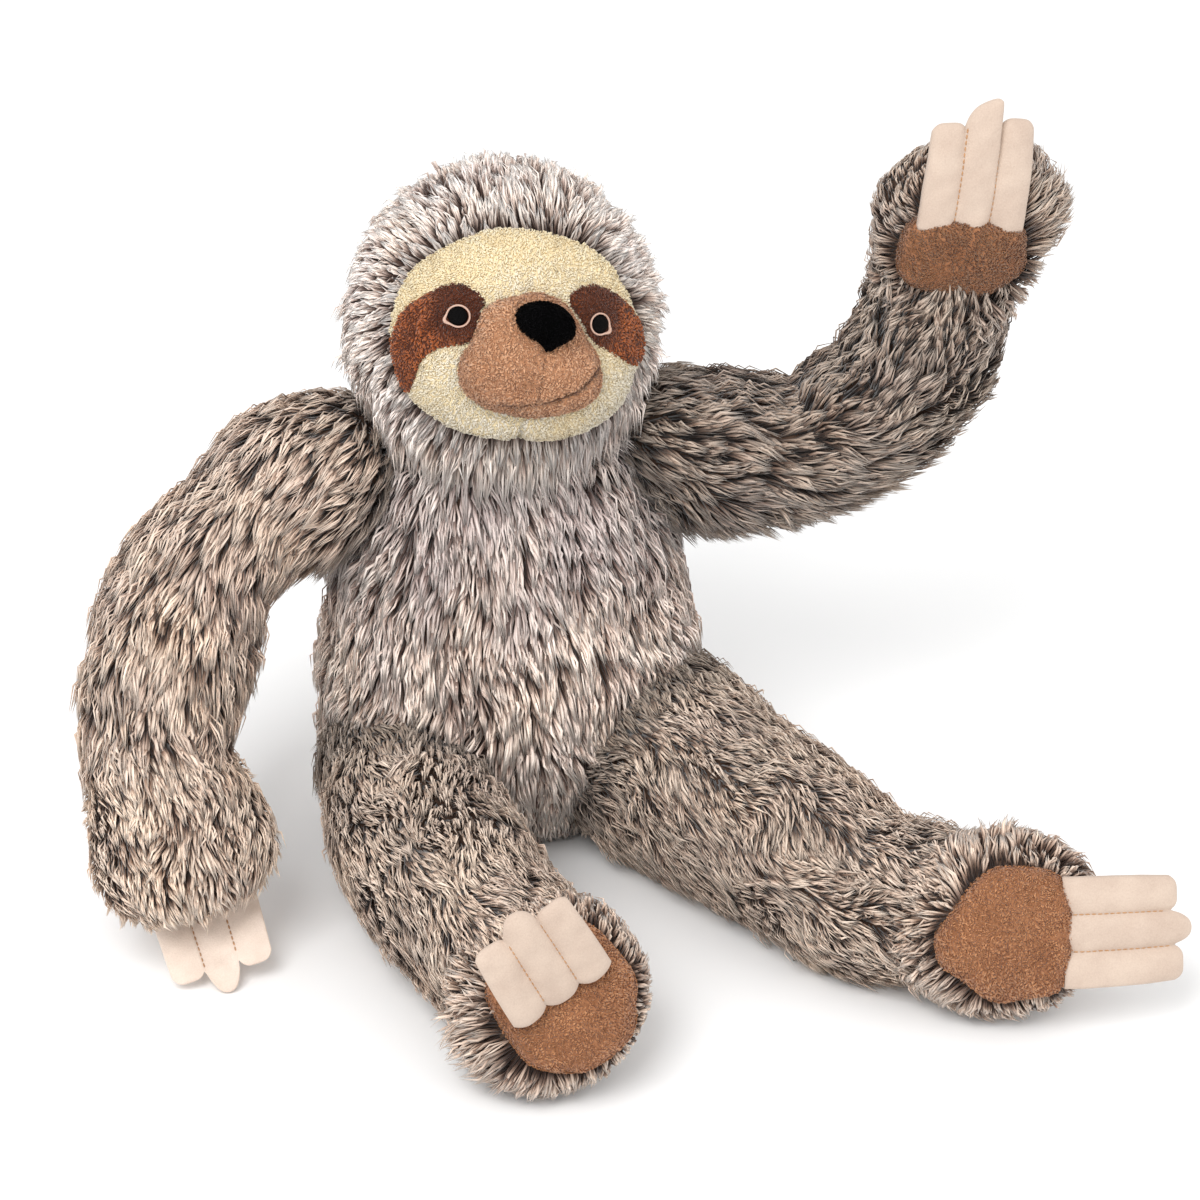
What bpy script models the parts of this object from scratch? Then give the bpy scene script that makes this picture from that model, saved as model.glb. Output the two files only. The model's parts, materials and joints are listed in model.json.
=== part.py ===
"""A seated plush sloth with one arm raised.

Every body, head and limb is a fur skin over its own core of fibre filling. The limbs turn on ball ends
that sit in cups: at the neck, shoulders, elbows, wrists, hips and ankles. Lengths are in metres and +Z is
up. The origin is the middle of the flat seat. The sloth faces -Y, and its own left is +X.
"""
import math

import bmesh
import bpy
from mathutils import Matrix, Vector
from mathutils.bvhtree import BVHTree

# Body and head
TORSO_HEIGHT = 0.215
TORSO_WIDTH = 0.196
TORSO_DEPTH = 0.152
HEAD_RADIUS = 0.077
NECK_SINK = 0.024
HEAD_SET_BACK = 0.010
NECK_HOLE_RADIUS = 0.024

# Arms, from the shoulder pivot to the claw tips
ARM_SPACING = 0.0026
SHOULDER_RADIUS = 0.034
ELBOW_RADIUS = 0.037
WRIST_RADIUS = 0.034
UPPER_ARM_LENGTH = 0.109
UPPER_ARM_SWELL = 0.003
FOREARM_LENGTH = 0.075
FOREARM_SWELL = 0.002
HAND_LENGTH = 0.074
HAND_WIDTH = 0.090
HAND_THICKNESS = 0.052
HAND_REACH = 0.038

# Legs, from the hip pivot to the sole
HIP_RADIUS = 0.044
HIP_HEIGHT = 0.049
ANKLE_RADIUS = 0.038
LEG_LENGTH = 0.195
LEG_SWELL = 0.002
FOOT_LENGTH = 0.098
FOOT_WIDTH = 0.094
FOOT_THICKNESS = 0.054
LEFT_FOOT_REACH = 0.035
RIGHT_FOOT_REACH = 0.014
FLAT_DEPTH = 0.0005

# Fur skin and what it holds
SKIN_WALL = 0.005
FILLING_HOLE_RADIUS = 0.009
PELLET_BAG_WIDTH = 0.084
PELLET_BAG_HEIGHT = 0.028
PELLET_BAG_LIFT = 0.010

# Face
FACE_WIDTH = 0.121
FACE_HEIGHT = 0.100
FACE_DROP = 0.005
FACE_SET_IN = 0.0015
PATCH_THICKNESS = 0.0020
PATCH_WIDTH = 0.040
PATCH_HEIGHT = 0.045
PATCH_SPACING = 0.079
PATCH_DROP = 0.0045
EYE_RADIUS = 0.0062
EYE_THICKNESS = 0.0012
EYE_SPACING = 0.066
MUZZLE_WIDTH = 0.070
MUZZLE_HEIGHT = 0.058
MUZZLE_DEPTH = 0.062
MUZZLE_SINK = 0.018
MUZZLE_DROP = 0.016
MUZZLE_WALL = 0.003
NOSE_WIDTH = 0.031
NOSE_HEIGHT = 0.025
NOSE_DEPTH = 0.018
NOSE_RISE = 0.001
MOUTH_THREAD_RADIUS = 0.0008

# Pads and claws
PALM_PAD_LENGTH = 0.043
PALM_PAD_WIDTH = 0.062
PALM_PAD_REACH = 0.022
SOLE_PAD_LENGTH = 0.064
SOLE_PAD_WIDTH = 0.062
PAD_DEPTH = 0.026
PAD_RISE = 0.0075
CLAW_WIDTH = 0.050
CLAW_THICKNESS = 0.0095
CLAW_SEAM_THICKNESS = 0.0035
CLAW_DIP = 0.007
HAND_CLAW_START = 0.050
HAND_CLAW_LENGTH = 0.053
LEFT_FOOT_CLAW_START = 0.028
LEFT_FOOT_CLAW_LENGTH = 0.063
RIGHT_FOOT_CLAW_START = 0.009
RIGHT_FOOT_CLAW_LENGTH = 0.053

# Clearances
GAP = 0.0003
OVERRUN = 0.012
WELD = 0.00001

# How the plush stands: degrees of lift above the horizontal, then degrees forward of straight sideways
ARM_POSES = {
    "left": {
        "upper": ((-15, 7), (24, 8)), "fore": ((60, 12), (80, 30)), "hand": (83, 25),
        "palm": (0.0, -1.0, 0.0),
    },
    "right": {
        "upper": ((-8, 20), (-48, 36)), "fore": ((-50, 55), (-58, 92)), "hand": (-54, 108),
        "palm": (0.1, 0.8, -0.6),
    },
}
LEG_POSES = {
    "left": {"leg": (68, 46), "toes": (0.978, -0.18, 0.03), "sole": (-0.18, -0.90, 0.42)},
    "right": {"leg": (87, 115), "toes": (-0.46, 0.51, 0.72), "sole": (-0.12, -0.80, 0.58)},
}
FOOT_REACHES = {"left": LEFT_FOOT_REACH, "right": RIGHT_FOOT_REACH}
FACE_TURN = 4.0
FACE_PITCH = 22.0
FACE_TILT = 6.0
SIDES = {"left": 1, "right": -1}

# Where the claws start from the middle of a paw, how long they are, how high they stand over the sole, and
# the degrees by which they fold away from it
HAND_CLAW_SIZES = (HAND_CLAW_START - HAND_REACH, HAND_CLAW_LENGTH, 0, 0)
FOOT_CLAW_SIZES = {
    "left": (LEFT_FOOT_CLAW_START, LEFT_FOOT_CLAW_LENGTH, 0, 0),
    "right": (RIGHT_FOOT_CLAW_START, RIGHT_FOOT_CLAW_LENGTH, PAD_RISE, 42),
}

# How far each joint turns, in degrees from the seated pose
TURNS = {
    "left_shoulder": (-40, 25), "left_elbow": (-30, 20), "left_wrist": (-25, 25),
    "right_shoulder": (0, 45), "right_elbow": (-35, 5), "right_wrist": (-25, 25),
    "left_hip": (0, 30), "left_ankle": (-15, 15), "right_hip": (0, 30), "right_ankle": (-15, 15),
}
TURN_STEP = 12

# Shares of the sizes above
TORSO_SHARES = (
    (0.000, 0.63, 0.66, 0.00), (0.037, 0.82, 0.82, 0.00), (0.140, 0.95, 0.95, -0.03),
    (0.280, 1.00, 1.00, -0.05), (0.440, 0.99, 0.97, -0.05), (0.605, 0.92, 0.87, -0.01),
    (0.767, 0.84, 0.74, 0.05), (0.907, 0.70, 0.63, 0.10), (1.000, 0.57, 0.56, 0.13),
)
HIP_SPREAD_SHARE = 0.63
HIP_FORWARD_SHARE = 0.40
SHOULDER_ANGLE = 50.0
PELLET_BAG_BACK_SHARE = 0.80
CUP_SHARE = 0.5
SHOULDER_ROOM_SHARE = 2.0
ELBOW_ROOM_SHARE = 1.3
HIP_ROOM_SHARE = 2.2
FACE_BACK_SHARE = 0.125
NOSE_TAPER_SHARE = 0.38
CLAW_LENGTH_SHARES = (0.90, 1.0, 0.90)
CLAW_CORNER_SHARE = 0.10
CLAW_NARROW_SHARE = 0.06
PATCH_SHARES = (
    (0.50, 0.30), (0.32, 0.50), (0.06, 0.46), (-0.20, 0.22), (-0.42, -0.06), (-0.50, -0.30), (-0.42, -0.48),
    (-0.26, -0.44), (-0.08, -0.30), (0.16, -0.20), (0.36, -0.08), (0.47, 0.12),
)
MOUTH_SHARES = (
    (-0.30, -0.62), (-0.05, -0.66), (0.20, -0.62), (0.42, -0.50), (0.60, -0.34), (0.74, -0.16),
)

# Faces around and along each form
SKIN_SIDES = 14
CORE_SIDES = 8
BODY_SIDES = 20
FILLING_SIDES = 14
BALL_STEPS = 4
LIMB_STEPS = 6
DISH_SIDES = 24
FILLING_CUTTER_SIDES = 8
CHANNEL_STEPS = 4
CLAW_STEPS = 6
THREAD_SIDES = 6
SHARP_ANGLE = 40.0

# Shape of the claws' corners and tips, and the search for the arm that reaches the floor, in degrees
CORNER_POWER = 4
TIP_POWER = 6
LARGEST_DROP = 20.0
DROP_HALVINGS = 16

# A direction that no opening points along
ASKEW = (0.31, 0.87, 0.39)

FINISHES = {
    "torso_fur": ((0.42, 0.36, 0.31, 1.0), 0.95),
    "limb_fur": ((0.36, 0.29, 0.23, 1.0), 0.95),
    "head_fur": ((0.46, 0.40, 0.35, 1.0), 0.95),
    "face_plush": ((0.80, 0.66, 0.42, 1.0), 0.9),
    "patch_plush": ((0.16, 0.07, 0.035, 1.0), 0.9),
    "muzzle_plush": ((0.47, 0.27, 0.15, 1.0), 0.9),
    "nose_plush": ((0.008, 0.007, 0.008, 1.0), 0.8),
    "eye_thread": ((0.03, 0.015, 0.01, 1.0), 0.5),
    "mouth_thread": ((0.22, 0.10, 0.05, 1.0), 0.7),
    "pad_plush": ((0.27, 0.12, 0.055, 1.0), 0.9),
    "claw_felt": ((0.84, 0.65, 0.50, 1.0), 0.85),
    "fibre_filling": ((0.85, 0.85, 0.83, 1.0), 1.0),
    "pellet_cloth": ((0.75, 0.72, 0.65, 1.0), 0.9),
}


def heading(side, lift, forward):
    """Unit direction of a limb on one side of the body, from its lift and its forward swing in degrees."""
    lift, forward = math.radians(lift), math.radians(forward)
    level = math.cos(lift)
    return Vector((side * level * math.cos(forward), -level * math.sin(forward), math.sin(lift)))


def square_to(vector, axis):
    """Unit part of a vector that is square to a unit axis."""
    return (vector - axis * vector.dot(axis)).normalized()


def bent_path(start, length, first, last, steps):
    """Points and headings along a limb whose heading turns evenly from first to last."""
    points, headings = [start.copy()], [first.copy()]
    for step in range(steps):
        middle = first.lerp(last, (step + 0.5) / steps).normalized()
        points.append(points[-1] + middle * (length / steps))
        headings.append(first.lerp(last, (step + 1) / steps).normalized())
    return points, headings


def ring(centre, across, up, half_width, half_height, sides):
    """An ellipse of points in the plane of two unit directions."""
    points = []
    for index in range(sides):
        angle = 2 * math.pi * index / sides
        points.append(centre + across * (half_width * math.cos(angle)) + up * (half_height * math.sin(angle)))
    return points


def loft(rings, start=None, end=None):
    """A closed mesh through rings of equal count; each end closes on a point, or flat where none is given."""
    mesh = bmesh.new()
    rows = [[mesh.verts.new(point) for point in points] for points in rings]
    count = len(rows[0])
    for low, high in zip(rows, rows[1:]):
        for index in range(count):
            following = (index + 1) % count
            mesh.faces.new((low[index], low[following], high[following], high[index]))
    for row, tip in ((rows[0], start), (rows[-1], end)):
        if tip is None:
            mesh.faces.new(row)
            continue
        point = mesh.verts.new(tip)
        for index in range(count):
            mesh.faces.new((row[index], row[(index + 1) % count], point))
    bmesh.ops.recalc_face_normals(mesh, faces=mesh.faces)
    return mesh


def ellipsoid_rings(centre, frame, halves, sides, steps):
    """Rings of an ellipsoid whose poles lie along the frame's third direction."""
    across, up, pole = frame
    rings = []
    for step in range(1, steps):
        angle = math.pi * step / steps
        middle = centre - pole * (halves[2] * math.cos(angle))
        width, height = halves[0] * math.sin(angle), halves[1] * math.sin(angle)
        rings.append(ring(middle, across, up, width, height, sides))
    return rings


def ellipsoid(centre, frame, halves, sides, steps):
    """A closed ellipsoid with its poles along the frame's third direction."""
    pole = frame[2] * halves[2]
    return loft(ellipsoid_rings(centre, frame, halves, sides, steps), centre - pole, centre + pole)


def ellipsoid_points(centre, frame, halves, sides, steps):
    """The corner points of an ellipsoid."""
    points = [centre - frame[2] * halves[2], centre + frame[2] * halves[2]]
    for row in ellipsoid_rings(centre, frame, halves, sides, steps):
        points.extend(row)
    return points


def hull(points):
    """The convex mesh around a set of points."""
    mesh = bmesh.new()
    for point in points:
        mesh.verts.new(point)
    result = bmesh.ops.convex_hull(mesh, input=mesh.verts)
    inside = [item for item in result["geom_interior"] if isinstance(item, bmesh.types.BMVert)]
    bmesh.ops.delete(mesh, geom=inside, context="VERTS")
    bmesh.ops.recalc_face_normals(mesh, faces=mesh.faces)
    return mesh


def clear_radius(radius, sides):
    """Radius at which a faceted cutter stays a gap outside a ball of the given radius."""
    return (radius + GAP) / math.cos(math.pi / sides) ** 2


def spare(radius, sides):
    """How far outside a form its cutter lies: a gap, and what a turn or coarser facets would take from it."""
    if sides == SKIN_SIDES:
        return GAP + radius * (1 - math.cos(math.radians(TURN_STEP / 2)))
    return clear_radius(radius, sides) - radius


def new_object(name, mesh):
    """An object in the scene from a bmesh, which is freed."""
    data = bpy.data.meshes.new(name)
    mesh.to_mesh(data)
    mesh.free()
    item = bpy.data.objects.new(name, data)
    bpy.context.scene.collection.objects.link(item)
    return item


def combine(item, meshes, operation="DIFFERENCE"):
    """Cut an object by each mesh in turn, or keep only what it shares with each."""
    for mesh in meshes:
        tool = new_object("cutter", mesh)
        boolean = item.modifiers.new("cut", "BOOLEAN")
        boolean.operation = operation
        boolean.solver = "EXACT"
        boolean.object = tool
        bpy.context.view_layer.update()
        result = bpy.data.meshes.new_from_object(item.evaluated_get(bpy.context.evaluated_depsgraph_get()))
        item.modifiers.remove(boolean)
        item.data = result
        bpy.data.objects.remove(tool)
        welded = bmesh.new()
        welded.from_mesh(result)
        bmesh.ops.remove_doubles(welded, verts=welded.verts, dist=WELD)
        bmesh.ops.dissolve_degenerate(welded, edges=welded.edges, dist=WELD)
        welded.to_mesh(result)
        welded.free()
    return item


def swept(points, pivot, axis, turn):
    """The convex space that points sweep as they turn about an axis through their whole range."""
    low, high = turn
    stops = math.ceil((high - low) / TURN_STEP) + 1
    swing = []
    for stop in range(stops):
        angle = math.radians(low + (high - low) * stop / (stops - 1))
        turned = Matrix.Translation(pivot) @ Matrix.Rotation(angle, 4, axis) @ Matrix.Translation(-pivot)
        swing.extend(turned @ point for point in points)
    return hull(swing)


class Torso:
    """The trunk: ellipse rings that widen from the flat seat to the belly and narrow to the neck."""

    def form(self, inset, sides):
        rings = []
        for height, width, depth, back in TORSO_SHARES:
            level = min(max(height * TORSO_HEIGHT, inset), TORSO_HEIGHT - inset)
            centre = Vector((0, back * TORSO_DEPTH / 2, level))
            half_width = width * TORSO_WIDTH / 2 - inset
            half_depth = depth * TORSO_DEPTH / 2 - inset
            rings.append(ring(centre, Vector((1, 0, 0)), Vector((0, 1, 0)), half_width, half_depth, sides))
        return loft(rings)


class Limb:
    """A stuffed tube with a ball at its own pivot. It ends short of the next pivot, where its cup is cut."""

    def __init__(self, pivot, length, headings, radii, swell, beam):
        self.pivot, self.radii, self.swell, self.beam = pivot, radii, swell, beam
        cup = radii[1] * CUP_SHARE
        self.first, self.last = headings
        self.points, self.headings = bent_path(pivot, length - cup, self.first, self.last, LIMB_STEPS)
        self.end = self.points[-1] + self.last * cup

    def radius(self, share):
        """Radius along the limb: an even taper plus a swelling that is greatest half way."""
        start, end = self.radii
        return start + (end - start) * share + self.swell * math.sin(math.pi * share)

    def section(self, centre, direction, radius, sides):
        across = square_to(self.beam, direction)
        return ring(centre, across, direction.cross(across), radius, radius, sides)

    def ball_rings(self, inset, sides):
        """Rings round the back half of the ball, and its pole."""
        radius = self.radius(0) - inset
        rings = []
        for step in range(1, BALL_STEPS):
            angle = math.pi / 2 * step / BALL_STEPS
            centre = self.pivot - self.first * (radius * math.cos(angle))
            rings.append(self.section(centre, self.first, radius * math.sin(angle), sides))
        return rings, self.pivot - self.first * radius

    def tube_ring(self, index, inset, sides):
        radius = self.radius(index / LIMB_STEPS) - inset
        return self.section(self.points[index], self.headings[index], radius, sides)

    def form(self, inset, sides, past_end=0):
        rings, pole = self.ball_rings(inset, sides)
        rings.extend(self.tube_ring(index, inset, sides) for index in range(LIMB_STEPS + 1))
        if past_end:
            end_radius = self.radius(1) - inset
            rings.append(self.section(self.points[-1] + self.last * past_end, self.last, end_radius, sides))
        return loft(rings, pole)

    def near_points(self, reach, sides):
        """Points a gap outside the limb, from its ball out to a given reach."""
        inset = -spare(self.radius(0), sides)
        rings, pole = self.ball_rings(inset, sides)
        for index, point in enumerate(self.points):
            if (point - self.pivot).length <= reach:
                rings.append(self.tube_ring(index, inset, sides))
        return [pole] + [point for row in rings for point in row]


class Paw:
    """A hand or foot: the convex form around a ball at its pivot and a flat rounded paddle."""

    def __init__(self, pivot, radius, centre, tip, face, halves):
        self.pivot, self.ball_radius, self.centre, self.halves = pivot, radius, centre, halves
        self.tip = tip.normalized()
        self.face = square_to(face, self.tip)
        self.across = self.tip.cross(self.face)

    def form_points(self, inset, sides):
        frame = (self.tip, self.across, self.face)
        halves = [half - inset for half in self.halves]
        steps = sides // 2
        points = ellipsoid_points(self.centre, frame, halves, sides, steps)
        ball = (self.ball_radius - inset,) * 3
        return points + ellipsoid_points(self.pivot, frame, ball, sides, steps)

    def form(self, inset, sides):
        return hull(self.form_points(inset, sides))

    def at(self, tip, across, face):
        return self.centre + self.tip * tip + self.across * across + self.face * face

    def surface(self, tip):
        """Height of the palm or sole above the paddle's middle plane, at a distance towards the tips."""
        mesh = self.form(0, SKIN_SIDES)
        tree = BVHTree.FromBMesh(mesh)
        mesh.free()
        start = self.at(tip, 0, self.halves[2] + self.ball_radius)
        hit = tree.ray_cast(start, -self.face)[0]
        return (hit - self.centre).dot(self.face)

    def pad(self, middle, length, width):
        """A domed pad whose edge meets the palm or sole."""
        height = self.surface(middle) + PAD_RISE - PAD_DEPTH / 2
        frame = (self.tip, self.across, self.face)
        halves = (length / 2, width / 2, PAD_DEPTH / 2)
        return self.at(middle, 0, height), frame, halves

    def claw_rows(self, start, length, lift, fold):
        """Rows of points across three padded channels, for the outer and the inner sheet of the claws."""
        root = self.at(start, 0, self.surface(start) + CLAW_SEAM_THICKNESS / 2 + lift)
        fold = math.radians(fold)
        onward = self.tip * math.cos(fold) + self.face * math.sin(fold)
        outward = self.face * math.cos(fold) - self.tip * math.sin(fold)
        columns = 3 * CHANNEL_STEPS
        outer, inner = [], []
        for row in range(CLAW_STEPS + 1):
            outer.append([])
            inner.append([])
            for column in range(columns + 1):
                channel = min(column // CHANNEL_STEPS, 2)
                within = column / CHANNEL_STEPS - channel
                along = row / CLAW_STEPS
                corner = 1 - CLAW_CORNER_SHARE * (2 * within - 1) ** CORNER_POWER
                distance = along * length * CLAW_LENGTH_SHARES[channel] * corner
                edge = math.sqrt(1 - along ** TIP_POWER)
                bulge = math.sin(math.pi * within) * edge
                thickness = CLAW_SEAM_THICKNESS + (CLAW_THICKNESS - CLAW_SEAM_THICKNESS) * bulge
                sideways = (column / columns - 0.5) * CLAW_WIDTH * (1 - CLAW_NARROW_SHARE * along ** 2)
                middle = root + onward * distance + self.across * sideways - outward * (CLAW_DIP * along ** 2)
                outer[-1].append(middle + outward * (thickness / 2))
                inner[-1].append(middle - outward * (thickness / 2))
        return outer, inner

    def claws(self, claw_sizes):
        """The closed sheet of three claws."""
        mesh = bmesh.new()
        sheets = [[[mesh.verts.new(point) for point in row] for row in rows]
                  for rows in self.claw_rows(*claw_sizes)]
        for grid in sheets:
            for low, high in zip(grid, grid[1:]):
                for column in range(len(low) - 1):
                    mesh.faces.new((low[column], low[column + 1], high[column + 1], high[column]))
        rims = []
        for grid in sheets:
            right = [row[-1] for row in grid[1:-1]]
            left = [row[0] for row in reversed(grid[1:-1])]
            rims.append(grid[0] + right + list(reversed(grid[-1])) + left)
        outer, inner = rims
        for index in range(len(outer)):
            following = (index + 1) % len(outer)
            mesh.faces.new((outer[index], outer[following], inner[following], inner[index]))
        bmesh.ops.recalc_face_normals(mesh, faces=mesh.faces)
        return mesh


class Face:
    """The face's own directions on the head, and the pieces that lie on its ball."""

    def __init__(self, head_centre):
        turn = Matrix.Rotation(math.radians(FACE_TURN), 3, "Z")
        pitch = Matrix.Rotation(math.radians(-FACE_PITCH), 3, "X")
        tilt = Matrix.Rotation(math.radians(FACE_TILT), 3, "Y")
        self.place = turn @ pitch @ tilt
        self.right = self.place @ Vector((1, 0, 0))
        self.up = self.place @ Vector((0, 0, 1))
        self.out = self.place @ Vector((0, -1, 0))
        self.head = head_centre
        self.frame = (self.right, self.up, self.out)
        self.radius = HEAD_RADIUS - FACE_SET_IN
        self.muzzle_reach = HEAD_RADIUS - MUZZLE_SINK

    def at(self, right, up, out):
        return self.head + self.right * right + self.up * up + self.out * out

    def on_ball(self, right, up, radius):
        """The point of a ball round the head's centre that lies straight out from a place on the face."""
        return self.at(right, up, math.sqrt(max(0, radius ** 2 - right ** 2 - up ** 2)))

    def window(self, inset):
        """The oval prism that the face panel fills."""
        rings = []
        for out in (HEAD_RADIUS * FACE_BACK_SHARE, HEAD_RADIUS + OVERRUN):
            centre = self.at(0, -FACE_DROP, out)
            rings.append(ring(centre, self.right, self.up, FACE_WIDTH / 2 - inset, FACE_HEIGHT / 2 - inset,
                              BODY_SIDES))
        return loft(rings)

    def patch(self, outline, inner_radius, thickness, steps=3):
        """A thin piece on the ball inside an outline: rings of points that shrink to its middle."""
        count = len(outline)
        middle = [sum(point[axis] for point in outline) / count for axis in (0, 1)]
        rings = []
        outwards = range(1, steps + 1)
        for radius, order in ((inner_radius, outwards), (inner_radius + thickness, reversed(outwards))):
            for step in order:
                share = step / steps
                rights = [middle[0] + (point[0] - middle[0]) * share for point in outline]
                ups = [middle[1] + (point[1] - middle[1]) * share for point in outline]
                rings.append([self.on_ball(right, up, radius) for right, up in zip(rights, ups)])
        outer_middle = self.on_ball(middle[0], middle[1], inner_radius + thickness)
        return loft(rings, self.on_ball(middle[0], middle[1], inner_radius), outer_middle)

    def muzzle(self, inset, sides):
        centre = self.at(0, -MUZZLE_DROP, self.muzzle_reach)
        halves = [size / 2 - inset for size in (MUZZLE_WIDTH, MUZZLE_HEIGHT, MUZZLE_DEPTH)]
        return ellipsoid(centre, self.frame, halves, sides, sides // 2 + 1)

    def muzzle_front(self, right, up, lift):
        """The point above the muzzle's surface at a place given in shares of its half sizes."""
        across, height = right * MUZZLE_WIDTH / 2, up * MUZZLE_HEIGHT / 2
        out = self.muzzle_reach + (MUZZLE_DEPTH / 2) * math.sqrt(1 - right ** 2 - up ** 2)
        point = self.at(across, height - MUZZLE_DROP, out)
        normal = (self.right * (right / MUZZLE_WIDTH) + self.up * (up / MUZZLE_HEIGHT)
                  + self.out * (math.sqrt(1 - right ** 2 - up ** 2) / MUZZLE_DEPTH)).normalized()
        return point + normal * lift

    def ball(self, radius, sides):
        return ellipsoid(self.head, self.frame, (radius,) * 3, sides, sides // 2)


def material(finish):
    """The Principled material of one finish."""
    made = bpy.data.materials.get(finish) or bpy.data.materials.new(finish)
    colour, roughness = FINISHES[finish]
    made.use_nodes = True
    shader = made.node_tree.nodes["Principled BSDF"]
    shader.inputs["Base Color"].default_value = colour
    shader.inputs["Roughness"].default_value = roughness
    shader.inputs["Metallic"].default_value = 0.0
    made.diffuse_color = colour
    return made


def pivot_empty(name, place, parent=None):
    """An empty on a joint's axis, which carries the pieces of the body that turns there."""
    empty = bpy.data.objects.new(name, None)
    bpy.context.scene.collection.objects.link(empty)
    empty.parent = parent
    empty.location = place - (parent.matrix_world.translation if parent else Vector())
    bpy.context.view_layer.update()
    return empty


def triangulate(data):
    """Turn a mesh's many-sided faces into triangles."""
    mesh = bmesh.new()
    mesh.from_mesh(data)
    bmesh.ops.triangulate(mesh, faces=mesh.faces)
    mesh.to_mesh(data)
    mesh.free()


def finish_piece(item, name, finish, carrier):
    """Name, colour and shade a piece, and hang it on the empty of its body with its origin there."""
    triangulate(item.data)
    item.name = name
    item.data.name = name
    item.data.materials.clear()
    item.data.materials.append(material(finish))
    item.data.transform(Matrix.Translation(-carrier.matrix_world.translation))
    item.parent = carrier
    item.data.shade_smooth()
    item.data.set_sharp_from_angle(angle=math.radians(SHARP_ANGLE))
    return item


def filling_hole(centre, direction, radius):
    """A short rod that opens a skin where its filling goes in."""
    across = square_to(Vector(ASKEW), direction)
    up = direction.cross(across)
    ends = [centre - direction * OVERRUN, centre + direction * OVERRUN]
    return loft([ring(end, across, up, radius, radius, CORE_SIDES) for end in ends])


def floor_block(centre):
    """A block under the floor, below one foot."""
    mesh = bmesh.new()
    bmesh.ops.create_cube(mesh, size=FOOT_LENGTH * 2)
    bmesh.ops.translate(mesh, verts=mesh.verts, vec=Vector((centre.x, centre.y, -FOOT_LENGTH)))
    return mesh


def make_paw(paw, names, carrier, pad, claw_sizes, on_floor):
    """Skin, filling, pad and claws of a hand or foot; names are the four node names."""
    skin_name, filling_name, pad_name, claws_name = names
    skin = new_object(skin_name, paw.form(0, SKIN_SIDES))
    opening = (paw.pivot - paw.centre).normalized()
    hole = filling_hole(paw.pivot + opening * paw.ball_radius, opening, FILLING_HOLE_RADIUS)
    cutters = [paw.form(SKIN_WALL, CORE_SIDES), hole]
    if on_floor:
        cutters.append(floor_block(paw.centre))
    finish_piece(combine(skin, cutters), skin_name, "limb_fur", carrier)
    filling = new_object(filling_name, paw.form(SKIN_WALL + GAP, CORE_SIDES))
    finish_piece(filling, filling_name, "fibre_filling", carrier)
    centre, frame, halves = paw.pad(*pad)
    pad_item = new_object(pad_name, ellipsoid(centre, frame, halves, SKIN_SIDES, SKIN_SIDES // 2))
    combine(pad_item, [paw.form(-GAP, SKIN_SIDES)])
    finish_piece(pad_item, pad_name, "pad_plush", carrier)
    wider = [half + GAP for half in halves]
    claws = new_object(claws_name, paw.claws(claw_sizes))
    combine(claws, [paw.form(-GAP, SKIN_SIDES), ellipsoid(centre, frame, wider, SKIN_SIDES, SKIN_SIDES // 2)])
    finish_piece(claws, claws_name, "claw_felt", carrier)


def make_limb(limb, names, carrier, cup):
    """Skin and filling of a limb, both cut by the space that the next body sweeps."""
    skin_name, filling_name = names
    skin = new_object(skin_name, limb.form(0, SKIN_SIDES))
    combine(skin, [limb.form(SKIN_WALL, CORE_SIDES, OVERRUN), cup(SKIN_SIDES)])
    finish_piece(skin, skin_name, "limb_fur", carrier)
    filling = new_object(filling_name, limb.form(SKIN_WALL + GAP, CORE_SIDES))
    finish_piece(combine(filling, [cup(FILLING_CUTTER_SIDES)]), filling_name, "fibre_filling", carrier)


def paw_sweep(paw, axis, turn):
    """The cutter that makes room for a hand or foot through its range, for a number of faces round it."""
    def room(sides):
        return swept(paw.form_points(-spare(paw.ball_radius, sides), sides), paw.pivot, axis, turn)
    return room


def limb_sweep(limb, axis, turn, reach):
    """The cutter that makes room for a limb through its range, for a number of faces round it."""
    def room(sides):
        return swept(limb.near_points(reach, sides), limb.pivot, axis, turn)
    return room


def arm(side, shoulder, drop=0.0):
    """The two limbs and the hand of one arm, with the whole arm let down by a few degrees."""
    sign, pose = SIDES[side], ARM_POSES[side]
    beam = Vector((0, 1, 0)) if side == "left" else Vector((sign, 0, 0))

    def toward(angles):
        return heading(sign, angles[0] - drop, angles[1])

    upper = Limb(shoulder, UPPER_ARM_LENGTH, [toward(angles) for angles in pose["upper"]],
                 (SHOULDER_RADIUS, ELBOW_RADIUS), UPPER_ARM_SWELL, Vector((0, 1, 0.3)))
    fore = Limb(upper.end, FOREARM_LENGTH, [toward(angles) for angles in pose["fore"]],
                (ELBOW_RADIUS, WRIST_RADIUS), FOREARM_SWELL, beam)
    tip = toward(pose["hand"])
    hand = Paw(fore.end, WRIST_RADIUS, fore.end + tip * HAND_REACH, tip, Vector(pose["palm"]),
               (HAND_LENGTH / 2, HAND_WIDTH / 2, HAND_THICKNESS / 2))
    return upper, fore, hand


def lowest_claw(paw, claw_sizes):
    """Height of the lowest point of a paw's claws."""
    return min(point.z for sheet in paw.claw_rows(*claw_sizes) for row in sheet for point in row)


def resting_arm(side, shoulder):
    """The arm let down until its claws rest on the floor, found by halving the angle's range."""
    low, high = -LARGEST_DROP, LARGEST_DROP
    for _ in range(DROP_HALVINGS):
        middle = (low + high) / 2
        hand = arm(side, shoulder, middle)[2]
        if lowest_claw(hand, HAND_CLAW_SIZES) > FLAT_DEPTH:
            low = middle
        else:
            high = middle
    return arm(side, shoulder, low)


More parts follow.
